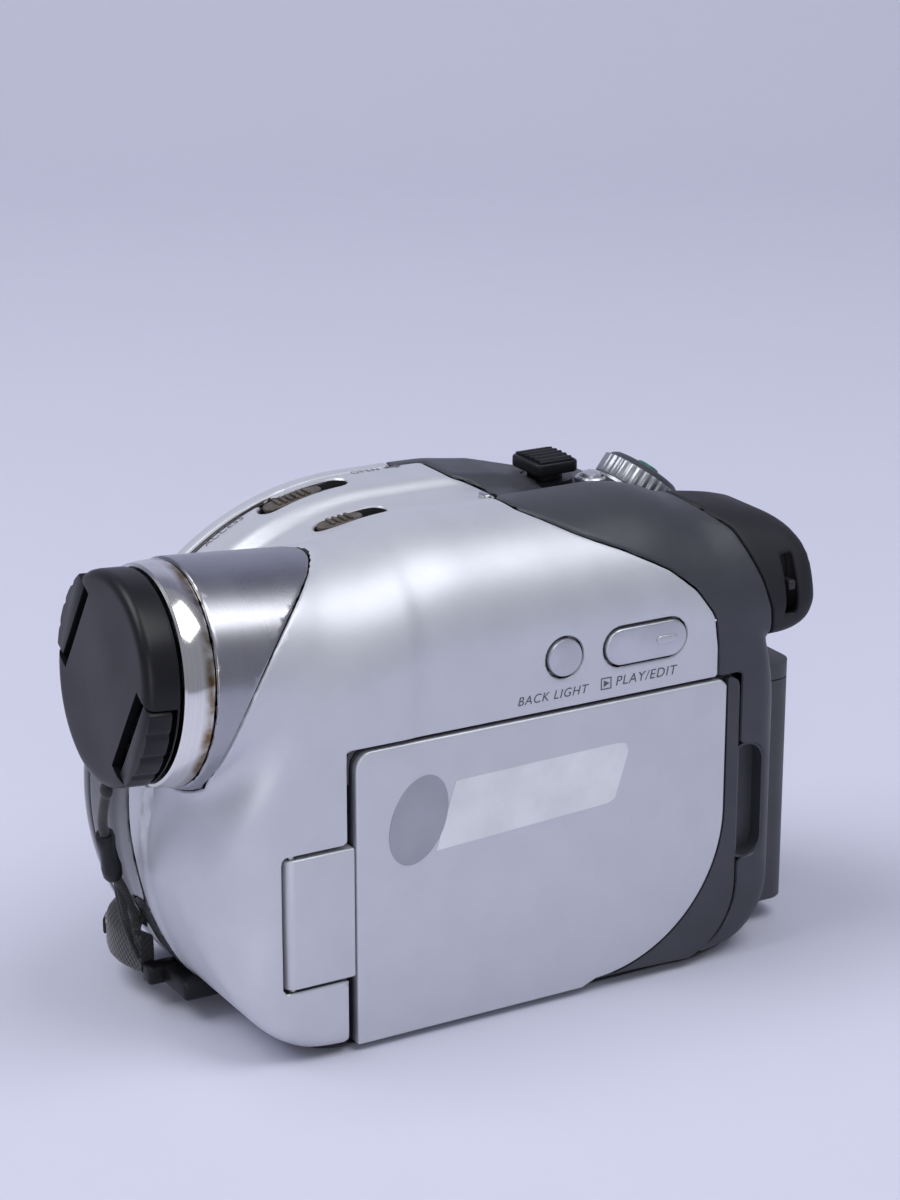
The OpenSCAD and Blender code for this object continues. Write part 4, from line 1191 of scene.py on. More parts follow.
def tube(name, path, radius):
    """A round thread along a path."""
    deselect()
    bpy.ops.curve.primitive_bezier_curve_add(location=(0, 0, 0))
    thread = named(name)
    spline = thread.data.splines[0]
    spline.bezier_points.add(len(path) - 2)
    for point, at in zip(spline.bezier_points, path):
        point.co = at
        point.handle_left_type = point.handle_right_type = "AUTO"
    thread.data.dimensions = "3D"
    thread.data.bevel_depth = radius
    thread.data.bevel_resolution = 4
    thread.data.resolution_u = 4
    thread.data.use_fill_caps = True
    activate(thread)
    bpy.ops.object.convert(target="MESH")
    return named(name)


class CAMCORDER_OT_cord(bpy.types.Operator):
    """Lays the cord that holds the lens cap"""

    bl_idname = "camcorder.cord"
    bl_label = "Cap cord"

    def execute(self, context):
        cord = tube("cap_cord_line", CORD_PATH, sizes().cord_diameter / 2 / MM)
        settle(cord, "casing", "cord_black", ["cap_cord"], angle=40)
        self.fittings()
        return {"FINISHED"}

    def fittings(self):
        """The sleeve on the cord, and the knots at its two ends."""
        place = (Matrix.Translation((-4.7, -61.9, 31.8)) @ Matrix.Rotation(math.radians(20.1), 4, "Y")
                 @ Matrix.Rotation(math.radians(15.7 + 90), 4, "X"))
        tab = turned("tab_piece", [
            (1.05, -5.65), (1.5, -5.6), (1.75, -5), (1.85, -3), (1.6, -1), (1.5, 2),
            (1.75, 4.2), (1.65, 5.4), (1.4, 5.7), (1.05, 5.7)], place, 32, closed=True)
        settle(tab, "casing", "black_shell", ["cord_tab"])
        made = [tab]
        for number, (lean, sag) in enumerate(((1.5, 0.6), (-0.8, 1.2), (0.4, -0.3))):
            start = Vector((-6.2, -60.2, 27))
            end = Vector((-10.5 - lean, -54.8, 8.5))
            points = [start.lerp(end, t) + Vector((lean, -sag, 0)) * 4 * t * (1 - t) * 0.6
                      for t in np.linspace(0, 1, 8)]
            strand = tube("strand_%d" % number, points, 0.36)
            made.append(settle(strand, "casing", "cord_black"))
        for name, at, radius in (("knot_top", CORD_PATH[1], 1.35), ("knot_low", CORD_PATH[-2], 1.5)):
            deselect()
            bpy.ops.mesh.primitive_uv_sphere_add(segments=20, ring_count=12, radius=radius)
            knot = named(name)
            knot.data.transform(Matrix.Translation(at) @ Matrix.Diagonal((1, 0.85, 1.2, 1)))
            made.append(settle(knot, "casing", "cord_black"))
        return made


class CAMCORDER_OT_shells(bpy.types.Operator):
    """Forms the body's skin and cuts it into the casing, the covers, the sleeve and the disc lid"""

    bl_idname = "camcorder.shells"
    bl_label = "Body shells"

    def execute(self, context):
        form = BodyForm()
        hood = plate("hood", hood_outline(), -10, SIDE_X, ON_SIDE)
        drum = plate("drum", drum_outline(), DISC_X, -6, ON_SIDE)
        deselect()
        bpy.ops.mesh.primitive_cylinder_add(vertices=96, radius=BARREL_R, depth=34)
        barrel = named("barrel")
        barrel.data.transform(LENS @ Matrix.Translation((0, SLEEVE_FRONT + 17, 0))
                              @ STANDING)
        skin = skin_mesh(joined("skin", [hood, drum, barrel]), form, sizes().skin_step)
        layout = Layout()
        wall, lip, inset = sizes().wall, sizes().lip, sizes().seam_gap / 2
        for name, keep, body, slot in (
                ("left_casing", layout.left_casing, "casing", "silver_shell"),
                ("rear_cover", layout.rear_cover, "casing", "grey_shell"),
                ("base_cover", layout.base_cover, "casing", "black_shell"),
                ("barrel_sleeve", layout.sleeve, "casing", "bright_sleeve"),
                ("front_panel", layout.front_panel, "casing", "black_gloss"),
                ("disc_lid", layout.lid, "lid", "silver_shell"),
                ("lid_rim", layout.in_rim, "lid", "black_gloss"),
                ("access_lamp", layout.in_lamp, "casing", "lamp"),
                ("mic_grille", layout.in_grille, "casing", "black_shell")):
            gap = 0.3 * inset if name == "barrel_sleeve" else inset
            piece = skin_part("shell_" + name, skin, form, keep, wall, lip, gap)
            settle(piece, body, slot, [name] if name != "lid_rim" else (),
                   finish=name if name in MATERIALS else slot)
        bpy.data.objects.remove(skin, do_unlink=True)
        self.linings()
        return {"FINISHED"}

    def linings(self):
        """Walls of the recesses in the shells."""
        bay = block("bay_lining", (BAY_LOW[0] - 0.1, BAY_LOW[1] - 0.1, 1.9),
                    (BAY_HIGH[0] + 0.1, REAR_Y - 0.6, BAY_HIGH[1] + 0.1), 0)
        open_up(bay, lambda normal: normal.y > 0.9 or normal.z < -0.9)
        thicken(bay, 0.9, 1)
        settle(bay, "casing", "grey_shell", finish="dark_well")
        well("scoop_lining", pill(30.5, 0, 21.8, 6.7), SIDE_X - 3.4, SIDE_X - 0.5,
             Matrix.Translation((0, 51.3, 0)) @ ON_SIDE @ Matrix.Rotation(math.pi / 2, 4, "Z"),
             "grey_shell")
        for name, slot, level in (("open_well", OPEN_SLOT, OPEN_LEVEL),
                                  ("night_well", NIGHT_SLOT, NIGHT_LEVEL)):
            well(name, pill(0, 0, slot[2], SLOT_WIDTH), -3.6, -1, on_slot(slot, level))
        well("dial_well", circle(8.8), -3.4, -1.2, DIAL)


class CAMCORDER_OT_lens(bpy.types.Operator):
    """Makes the lens ring and the cap with its two clips"""

    bl_idname = "camcorder.lens"
    bl_label = "Lens ring and cap"

    def execute(self, context):
        ring = turned("ring_piece", [
            (17.3, 7.2), (17.8, 6.85), (18.5, 6.85), (18.95, 7.2), (19.2, 8.4), (19.5, 11.6),
            (19.3, 12), (18, 12.1), (12.75, 12.1), (12.45, 11.8), (12.45, 9.4), (12.9, 8.85),
            (16.9, 8.8), (17.1, 8.6)], LENS, closed=True)
        settle(ring, "casing", "ring_chrome", ["lens_ring"])
        cap = turned("cap_piece", [
            (0, 0), (15.9, 0), (16.6, 0), (17.3, 0.1), (18, 0.45), (18.4, 1.1), (18.5, 1.9),
            (18.5, 5.6), (18.3, 6.1), (17.8, 6.35), (16.4, 6.4), (16.4, 8.2), (16.2, 8.4),
            (15.4, 8.4), (15.2, 8.2), (15.2, 1.6), (0, 1.6)], LENS)
        for side in (-1, 1):
            pocket = block("pocket", (-4.9, -1, -8.7), (5, 5.7, 8.7), 0,
                           place=CLIPS @ Matrix.Translation((side * 16.5, 0, 0)))
            cut_away(cap, pocket)
        bevel(cap, 0.18, 2, 50)
        even_shading(settle(cap, "lens_cap", "black_shell", ["lens_cap"], angle=40))
        for side, name in ((1, "left"), (-1, "right")):
            self.clip(side, name)
        return {"FINISHED"}

    def clip(self, side, name):
        """One clip: a pad with ridges, which stands a little proud of the cap's rim."""
        reach = math.degrees(math.asin(8.3 / 18.9))
        edge = []
        for i in range(41):
            angle = math.radians(-reach + 2 * reach * i / 40)
            height = 18.95 * math.sin(angle)
            groove = 0.4 * max(0, math.cos(math.pi * height / 2.4)) ** 4 if abs(height) < 6 else 0
            radius = 18.9 - groove
            edge.append((radius * math.cos(angle), height))
        outline = [(14.2, -8.3), *edge, (14.2, 8.3)]
        flat = Matrix(((side, 0, 0, 0), (0, 0, 1, 0), (0, 1, 0, 0), (0, 0, 0, 1)))
        pad = plate("clip_" + name, outline, 0.35, 4.6, CLIPS @ flat)
        outward(pad)
        bevel(pad, 0.22, 2, 50)
        settle(pad, "clip_" + name, "black_shell", ["cap_clip_" + name])


class CAMCORDER_OT_screen(bpy.types.Operator):
    """Makes the swing-out screen and its hinge block"""

    bl_idname = "camcorder.screen"
    bl_label = "Screen"

    def execute(self, context):
        low, high = PANEL_LOW, PANEL_HIGH
        middle = (high.y - SCREEN_CORNER, low.z + SCREEN_CORNER)
        top = arc(high.y - 3, high.z - 3, 3, 0, 90, 6) + arc(low.y + 3, high.z - 3, 3, 90, 180, 6)
        outline = [(low.y, low.z), *arc(*middle, SCREEN_CORNER, -90, 0, 24), *top]
        back = plate("screen_back", outline, low.x + 0.05, COVER_LOW.x - 0.15, ON_SIDE, 0.3)
        window = block("window", (low.x - 1, -15.4, 8), (low.x + 3.6, 38.4, 49.1), 0)
        cut_away(back, window)
        shaft = block("shaft", (21, -34, 24.2), (25.2, -20, 28.4), 0)
        cut_away(back, shaft)
        settle(back, "screen", "grey_shell", ["screen_bezel"])
        face_x = (COVER_LOW.x, COVER_HIGH.x + 0.05)
        silver = ([(low.y, low.z), (16, low.z + 0.1)]
                  + arc(18, 30.3, 28, -88, 0, 48) + [(46, high.z - 1.2), (44.8, high.z)]
                  + arc(low.y + 3, high.z - 3, 3, 90, 180, 6))
        cover = plate("screen_face", silver, *face_x, ON_SIDE, 0.45, 4)
        settle(cover, "screen", "silver_shell", ["screen_cover"])
        strip = (arc(18, 30.3, 28.35, -80, 0, 40) + [(46.35, high.z - 0.2)]
                 + arc(high.y - 2, high.z - 2, 2, 90, 0, 4)
                 + arc(*middle, SCREEN_CORNER, 0, -72, 20))
        edge = plate("screen_strip", strip, face_x[0], face_x[1] - 0.15, ON_SIDE, 0.35, 3)
        settle(edge, "screen", "grey_shell")
        self.hinge()
        return {"FINISHED"}

    def hinge(self):
        """The block that the screen hangs on, rounded round its pin."""
        out, rear = BLOCK_HIGH.x, BLOCK_HIGH.y
        section = ([(BLOCK_LOW.x, rear), (out, rear)] + arc(out - 1.9, -41.7, 1.9, 0, -180, 16)
                   + [(BLOCK_LOW.x, -37.3)])
        body = plate("hinge_body", section, BLOCK_LOW.z + 0.1, BLOCK_HIGH.z - 0.1, round_by=0.4)
        cut_away(body, block("bore", (25, -42.7, 10), (26.6, -41.1, 43), 0))
        cut_away(body, block("shaft", (21, -35.2, 24.2), (25.2, -29, 28.4), 0))
        settle(body, "screen", "silver_shell", ["hinge_block"])


class CAMCORDER_OT_controls(bpy.types.Operator):
    """Makes the keys, the dial, the zoom lever and the switches"""

    bl_idname = "camcorder.controls"
    bl_label = "Controls"

    def execute(self, context):
        self.side_keys()
        self.dial()
        self.top()
        self.switches()
        self.rear()
        return {"FINISHED"}

    def side_keys(self):
        """The round key and the long key above the screen."""
        middle = Matrix.Translation((0, BACK_KEY[0], BACK_KEY[1]))
        turn = Matrix.Rotation(-math.pi / 2, 4, "Z")
        key = turned("back_key", [
            (0, SIDE_X - 3), (4.2, SIDE_X - 3), (4.2, SIDE_X - 2.1), (3.45, SIDE_X - 2.1),
            (3.45, SIDE_X), (3.3, SIDE_X + 0.3), (2.9, SIDE_X + 0.42), (0, SIDE_X + 0.45)],
            middle @ turn, 64)
        settle(key, "backlight_key", "bright_key", ["backlight_button"])
        face = plate("play_key_face", pill(*PLAY_KEY, 16.9, 6.7), SIDE_X - 2.4, SIDE_X + 0.45,
                     ON_SIDE, 0.35)
        foot = plate("play_key_foot", pill(*PLAY_KEY, 18.2, 8), SIDE_X - 3, SIDE_X - 2.2, ON_SIDE)
        bar = plate("play_key_bar", pill(PLAY_KEY[0] + 4.2, PLAY_KEY[1], 4.4, 1.6),
                    SIDE_X + 0.2, SIDE_X + 0.75, ON_SIDE, 0.2)
        settle(joined("play_key_piece", [face, foot, bar]), "play_key", "bright_key",
               ["play_button"])

    def dial(self):
        """The knurled dial with its bright rim and the lock key in its middle."""
        radius, ridges = 8.15, 30
        outline = []
        for i in range(ridges * 6):
            angle = 2 * math.pi * i / (ridges * 6)
            r = radius - 0.28 * (0.5 + 0.5 * math.cos(ridges * angle)) ** 2
            outline.append((r * math.cos(angle), r * math.sin(angle)))
        rim = plate("dial_rim", outline, -0.4, 3.4, round_by=0.15, segments=2)
        foot = plate("dial_foot", circle(7.7), -1.6, -0.3)
        stem = plate("dial_stem", circle(1.9, 24), -8.4, -1.5)
        rim = joined("dial_side", [rim, foot, stem])
        rim.data.transform(DIAL)
        settle(rim, "dial", "bright_key", ["mode_dial"], finish="dial_metal")
        top = turned("dial_top", [
            (2.85, 2.9), (7.6, 2.9), (7.6, 3.5), (7.1, 4.1), (6.4, 4.55), (5.4, 4.75), (3.1, 4.8),
            (2.85, 4.6)], DIAL @ STANDING, 96, closed=True)
        settle(top, "dial", "grey_shell")
        lock = turned("lock_key", [(0, 2.8), (2.4, 2.8), (2.4, 5.1), (2.1, 5.5), (0, 5.6)],
                      DIAL @ STANDING, 48)
        settle(lock, "dial_key", "green_key", ["dial_lock"])

    def top(self):
        """The zoom lever and the photo button."""
        x, y = LEVER_AT
        stand = Matrix.Translation((x, y, 0)) @ STANDING
        disc = turned("lever_disc", [(0, 81.7), (5.2, 81.7), (5.2, 84.5), (3.3, 84.5), (3.3, 86),
                                     (0, 86)], stand, 64)
        grip = plate("lever_grip", rounded((x - 5, y - 4.6), (x + 5, y + 4.6), 1.4), 85.95, 88.25,
                     round_by=0.5)
        wave = [(x - 4.6 + 9.2 * i / 60, 0) for i in range(61)]
        crest_line = [(u, 88.85 - ((u - x) / 9) ** 2
                       + 0.16 * math.cos(2 * math.pi * (u - x) / 1.7)) for u, _ in wave]
        profile = [(x - 4.6, 88), *crest_line, (x + 4.6, 88)]
        ridges = plate("lever_ridges", profile, y - 3.5, y + 3.5, UPRIGHT)
        lever = joined("zoom_grip", [disc, grip, ridges])
        settle(lever, "zoom_rocker", "black_shell", ["zoom_lever"])
        x, y = PHOTO_AT
        stand = Matrix.Translation((x, y, 0)) @ STANDING
        button = turned("photo_cap", [(0, 78.7), (2, 78.7), (2, 84.2), (1.7, 84.65), (0, 84.8)],
                        stand, 48)
        settle(button, "photo_key", "bright_key", ["photo_button"])
        collar = turned("photo_collar", [(2.2, 81), (3, 81), (3, 83.7), (2.7, 84), (2.4, 84),
                                         (2.2, 83.8)], stand, 48, closed=True)
        settle(collar, "casing", "bright_key")

    def switches(self):
        """The disc cover's slider and the night switch, both ribbed."""
        for name, node, body, slot, level, length in (
                ("slider", "open_slider", "open_switch", OPEN_SLOT, OPEN_LEVEL, 11.6),
                ("toggle", "night_switch", "night_mode_switch", NIGHT_SLOT, NIGHT_LEVEL, 8.8)):
            parts = [plate(name + "_base", pill(0, 0, length, 3.8), -0.1, 0.8, round_by=0.2)]
            count = int(length / 1.6) - 1
            for i in range(count):
                middle = (i - (count - 1) / 2) * 1.2
                parts.append(block(name + "_rib", (middle - 0.3, -1.5, 0.7),
                                   (middle + 0.3, 1.5, 1.25), 0.15, 2))
            piece = joined(name + "_piece", parts)
            piece.data.transform(on_slot(slot, level, (0, -2.2, -0.9)))
            settle(piece, body, "switch_brown", [node])

    def rear(self):
        """The record button, the battery's catch and the jack cover."""
        x, z = RECORD_AT
        rear = Matrix.Translation((x, 0, z))
        button = turned("record_cap", [
            (0, REAR_Y - 4), (3.5, REAR_Y - 4), (3.5, REAR_Y + 0.3), (3.2, REAR_Y + 0.7),
            (1.5, REAR_Y + 0.55), (0, REAR_Y + 0.5)], rear, 64)
        settle(button, "record_key", "bright_key", ["record_button"])
        x, z = CATCH_AT
        low, high = box_mm("battery_release")
        stem = block("catch_stem", (x - 1.6, low.y, z - 1.4), (x + 1.6, high.y - 0.5, z + 1.4))
        face = plate("catch_face", pill(x, z, high.x - low.x, high.z - low.z), REAR_Y - 0.9,
                     high.y, UPRIGHT, 0.3)
        outward(face)
        settle(joined("catch_piece", [stem, face]), "battery_catch", "black_shell",
               ["battery_release"])
        low, high = box_mm("jack_cover")
        flap = plate("flap", rounded((low.x, low.z), (high.x, high.z), 1), low.y, high.y,
                     UPRIGHT, 0.3)
        outward(flap)
        settle(flap, "jack_flap_body", "black_shell", ["jack_cover"])


class EyecupForm(BodyForm):
    """Distance to the rubber eyecup: its own form and the body's near the seam, less the bore."""

    def __call__(self, p):
        x, y, z = p.T
        near = extra(blend_either(self.cup(p), self.hood(p), 1.5), 40 - y, 58 - z, -2.4 - x)
        hollow = EYE_BORE + 3 * ease((y - EYE_REAR + 4) / 4) - np.hypot(x - EYE_X, z - EYE_Z)
        return round_both(near, hollow, 1.2)


class CAMCORDER_OT_eyecup(bpy.types.Operator):
    """Makes the rubber eyecup and its lever"""

    bl_idname = "camcorder.eyecup"
    bl_label = "Eyecup"

    def execute(self, context):
        form = EyecupForm()
        rough = block("rubber", (-2, 40, 59), (27.3, EYE_REAR, 88), 3)
        bore = plate("bore", circle(EYE_BORE), 30, 80,
                     Matrix.Translation((EYE_X, 0, EYE_Z)) @ ON_REAR)
        outward(bore)
        cut_away(rough, bore)
        rough = skin_mesh(rough, form, 0.8)
        layout = Layout()

        def keep(p):
            x, y, z = p.T
            slot = np.minimum(np.minimum(1.2 - np.abs(y - 60.2), 5.4 - np.abs(z - EYE_Z)), x - EYE_X)
            return extra(layout.eye(y, z), slot)

        rubber = skin_part("eyecup_piece", rough, form, keep, 1.6, 0.4, sizes().seam_gap / 2)
        bpy.data.objects.remove(rough, do_unlink=True)
        settle(rubber, "casing", "soft_rubber", ["eyecup"])
        lever = block("lever_tab", (EYE_X + 8, 59.5, EYE_Z - 0.9), (EYE_X + 14.8, 60.9, EYE_Z + 0.9),
                      0.3)
        ring = turned("lever_ring", [(6.7, 59.5), (9.1, 59.5), (9.1, 60.9), (6.7, 60.9)],
                      Matrix.Translation((EYE_X, 0, EYE_Z)), 64, closed=True)
        settle(joined("diopter_piece", [ring, lever]), "diopter", "tube_black", ["diopter_lever"])
        return {"FINISHED"}


class CAMCORDER_OT_battery(bpy.types.Operator):
    """Makes the battery pack behind the screen"""

    bl_idname = "camcorder.battery"
    bl_label = "Battery"

    def execute(self, context):
        low, high = BATTERY_LOW, BATTERY_HIGH + Vector((0, 1.2, 0))
        outline = ([(low.x, low.y), (high.x, low.y)]
                   + arc(high.x - 4, high.y - 4, 4, 0, 90, 12)
                   + arc(low.x + 4, high.y - 4, 4, 90, 180, 12))
        pack = plate("battery", outline, low.z, high.z)
        for x in (low.x - 1, high.x - 1):
            cut_away(pack, block("rail", (x, low.y + 5, low.z - 1), (x + 2, low.y + 7, high.z + 2), 0))
        middle = (low.x + high.x) / 2
        cut_away(pack, block("contacts", (middle - 4.5, low.y - 1, high.z - 12),
                             (middle + 4.5, low.y + 2, high.z + 1), 0))
        cut_away(pack, block("seam", (low.x - 1, REAR_Y + 0.8, high.z - 3.3),
                             (high.x + 1, high.y + 1, high.z - 3.1), 0))
        bevel(pack, 0.6, 3, 40)
        settle(pack, "battery", "battery_grey", ["battery_pack"])
        return {"FINISHED"}


# Middle line of the hand strap in top view, from the front lug to the rear, and its two edges
STRAP_LINE = [(-9.6, -53), (-15, -54.6), (-20, -54.6), (-25, -52.6), (-28.6, -48.5),
              (-31.2, -41), (-34.6, -30), (-38, -15), (-39, 0), (-37.6, 16), (-33.9, 30),
              (-29.8, 41), (-28.7, 48), (-28.7, 53)]
STRAP_LOW = [(-60, 4.8), (-48, 5.2), (-34, 6.2), (-15, 7.8), (15, 13.2), (34, 17.2), (44, 23),
             (54, 24.2)]
STRAP_HIGH = [(-60, 12.2), (-48, 13), (-34, 28.8), (-15, 35.8), (15, 40.8), (34, 41.8),
              (44, 37.8), (54, 36.8)]


def smooth_line(points, count):
    """Evenly spaced points on a smooth line through the given ones."""
    points = np.array(points, dtype=float)
    reach = np.concatenate([[0], np.cumsum(np.linalg.norm(np.diff(points, axis=0), axis=1))])
    fine = np.linspace(0, reach[-1], count)
    line = np.stack([np.interp(fine, reach, points[:, i]) for i in range(points.shape[1])], -1)
    for _ in range(6):
        line[1:-1] = (line[:-2] + 2 * line[1:-1] + line[2:]) / 4
    return line


def strap_course(count):
    """The strap's middle line, its direction there, and the heights of its two edges."""
    line = smooth_line(STRAP_LINE, count)
    way = np.gradient(line, axis=0)
    way /= np.linalg.norm(way, axis=1, keepdims=True)
    low = np.interp(line[:, 1], *zip(*STRAP_LOW))
    high = np.interp(line[:, 1], *zip(*STRAP_HIGH))
    return line, way, low, high


def strap_band(name, thickness, offset, share, start=0, end=1, around=20, count=120):
    """A band along the strap: share of the strap's height, offset outward, between two ends."""
    line, way, low, high = strap_course(count)
    first, last = int(start * (count - 1)), int(end * (count - 1)) + 1
    out = np.stack([-way[:, 1], way[:, 0]], -1)
    rings = []
    for i in range(first, last):
        middle, half = (low[i] + high[i]) / 2, (high[i] - low[i]) / 2 * share
        for k in range(around):
            angle = 2 * math.pi * k / around
            c, s = math.cos(angle), math.sin(angle)
            flat = offset + thickness / 2 * math.copysign(abs(c) ** 0.8, c)
            tall = half * math.copysign(abs(s) ** 0.35, s)
            rings.append((*(line[i] + out[i] * flat), middle + tall))
    rows = last - first
    faces = [(r * around + k, r * around + (k + 1) % around,
              (r + 1) * around + (k + 1) % around, (r + 1) * around + k)
             for r in range(rows - 1) for k in range(around)]
    faces += [tuple(range(around)), tuple(range((rows - 1) * around, rows * around))]
    piece = from_points(name, rings, faces=faces)
    outward(piece)
    return piece


class CAMCORDER_OT_strap(bpy.types.Operator):
    """Makes the padded hand strap and the lug under the front"""

    bl_idname = "camcorder.strap"
    bl_label = "Hand strap"

    def execute(self, context):
        lug = block("lug", (-9, -51.5, 4), (3, -42.5, 7.6), 0.8)
        loop = block("lug_loop", (-9.4, -54.3, 4.1), (-6, -48, 7.7), 0.7)
        settle(joined("lug_piece", [lug, loop]), "casing", "black_shell", ["strap_lug"])
        thick = sizes().belt_thickness
        pad = strap_band("strap_pad", thick, 0, 1)
        band = strap_band("strap_band", 0.9, thick / 2 + 0.2, 0.42, 0.12, 0.94)
        stitches = self.stitches(thick)
        for piece, finish, angle in ((pad, "webbing", 60), (band, "cord_black", 60),
                                     (stitches, "pale_thread", 30)):
            settle(piece, "casing", "webbing", ["grip_belt"] if piece is pad else (),
                   finish=finish, angle=angle)
            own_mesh(piece)
        return {"FINISHED"}

    def stitches(self, thick):
        """Two rows of stitches along the strap's edges."""
        line, way, low, high = strap_course(120)
        parts = []
        for i in range(12, 108, 2):
            out = np.array([-way[i, 1], way[i, 0]])
            at = line[i] + out * (thick / 2 - 0.22)
            turn = Matrix.Rotation(math.atan2(way[i, 1], way[i, 0]), 4, "Z")
            for z in (low[i] + 1.9, high[i] - 1.9):
                place = Matrix.Translation((at[0], at[1], z)) @ turn
                parts.append(block("stitch", (-0.7, -0.14, -0.14), (0.7, 0.3, 0.14), 0, place=place))
        return joined("strap_stitches", parts)


def lettering(name, text, size, place, body, shear=0.0, width=1.0, form=None):
    """Flat lettering: a text turned into a mesh, laid on its surface."""
    deselect()
    bpy.ops.object.text_add(location=(0, 0, 0))
    piece = named(name)
    piece.data.body = text
    piece.data.size = size
    piece.data.shear = shear
    piece.data.align_x = "CENTER"
    piece.data.space_character = 1.12
    activate(piece)
    bpy.ops.object.convert(target="MESH")
    piece = bpy.context.object
    piece.data.transform(place @ Matrix.Diagonal((width, 1, 1, 1)))
    if form:
        points = read_points(piece.data)
        points = pull_to(lambda p: form(p) - 0.05, points, 12)
        piece.data.vertices.foreach_set("co", points.ravel())
        piece.data.update()
    return settle(piece, body, "silver_shell", finish="ink")


class CAMCORDER_OT_marks(bpy.types.Operator):
    """Adds the plain sticker, the everyday words at the controls and the peg on top"""

    bl_idname = "camcorder.marks"
    bl_label = "Marks and lettering"

    def execute(self, context):
        face = COVER_HIGH.x + 0.05
        slanted = [(math.cos(a) * 5.6 + math.sin(a) * 1.6, math.sin(a) * 8)
                   for a in np.linspace(0, 2 * math.pi, 64, endpoint=False)]
        disc = [(-17.9 + u, 40.9 + v) for u, v in slanted]
        bar = [(-14.5, 34.5), (20.8, 36.3), (22.2, 37), (24.9, 45.6), (24.2, 47.1), (22.6, 47.4),
               (-10.5, 46.7)]
        for name, outline, high, finish in (("sticker_bar", bar, 0.1, "label"),
                                            ("sticker_disc", disc, 0.14, "label_tone")):
            piece = plate(name, outline, face - 0.02, face + high, ON_SIDE)
            settle(piece, "screen", "silver_shell", finish=finish)
        form = BodyForm()
        side = SIDE_X + 0.03
        on_side = Matrix.Translation((side, 0, 0)) @ ON_SIDE
        lettering("word_back_light", "BACK LIGHT", 2.3, on_side @ Matrix.Translation((9, 58, 0)),
                  "casing", 0.25, form=form)
        lettering("word_play", "PLAY/EDIT", 2.5, on_side @ Matrix.Translation((28.4, 58.2, 0)),
                  "casing", 0.2, form=form)
        sign = [(19, 57.9), (21.2, 57.9), (21.2, 60.1), (19, 60.1)]
        rim = plate("sign_frame", sign, -0.05, 0.03, on_side)
        cut_away(rim, plate("sign_hole", [(19.2, 58.1), (21, 58.1), (21, 59.9), (19.2, 59.9)],
                            -1, 1, on_side))
        arrow = plate("sign_arrow", [(19.6, 58.4), (20.8, 59), (19.6, 59.6)], -0.05, 0.03, on_side)
        settle(joined("sign_play", [rim, arrow]), "casing", "silver_shell", finish="ink")
        flat = Matrix(((0, -1, 0, 0), (1, 0, 0, 0), (0, 0, 1, 0), (0, 0, 0, 1)))
        lettering("word_open", "OPEN", 2.1, Matrix.Translation((-20.8, -1.5, 88.5)) @ flat,
                  "casing", form=form)
        arrow = plate("open_arrow", [(0, -0.35), (2.1, -0.35), (2.1, -0.9), (3.4, 0), (2.1, 0.9),
                                     (2.1, 0.35), (0, 0.35)], 0, 0.03,
                      Matrix.Translation((-21.5, 2.6, 88.73)) @ flat)
        settle(arrow, "casing", "silver_shell", finish="ink")
        lettering("word_access", "ACCESS", 2.3, Matrix.Translation((-19.4, -31, 82.2))
                  @ Matrix.Rotation(math.radians(27), 4, "X") @ flat, "casing", form=form)
        peg = block("peg", (0.9, 9.2, 87.6), (3.9, 10.5, 89), 0.4)
        settle(peg, "casing", "steel")
        return {"FINISHED"}


# ---------- stage ----------


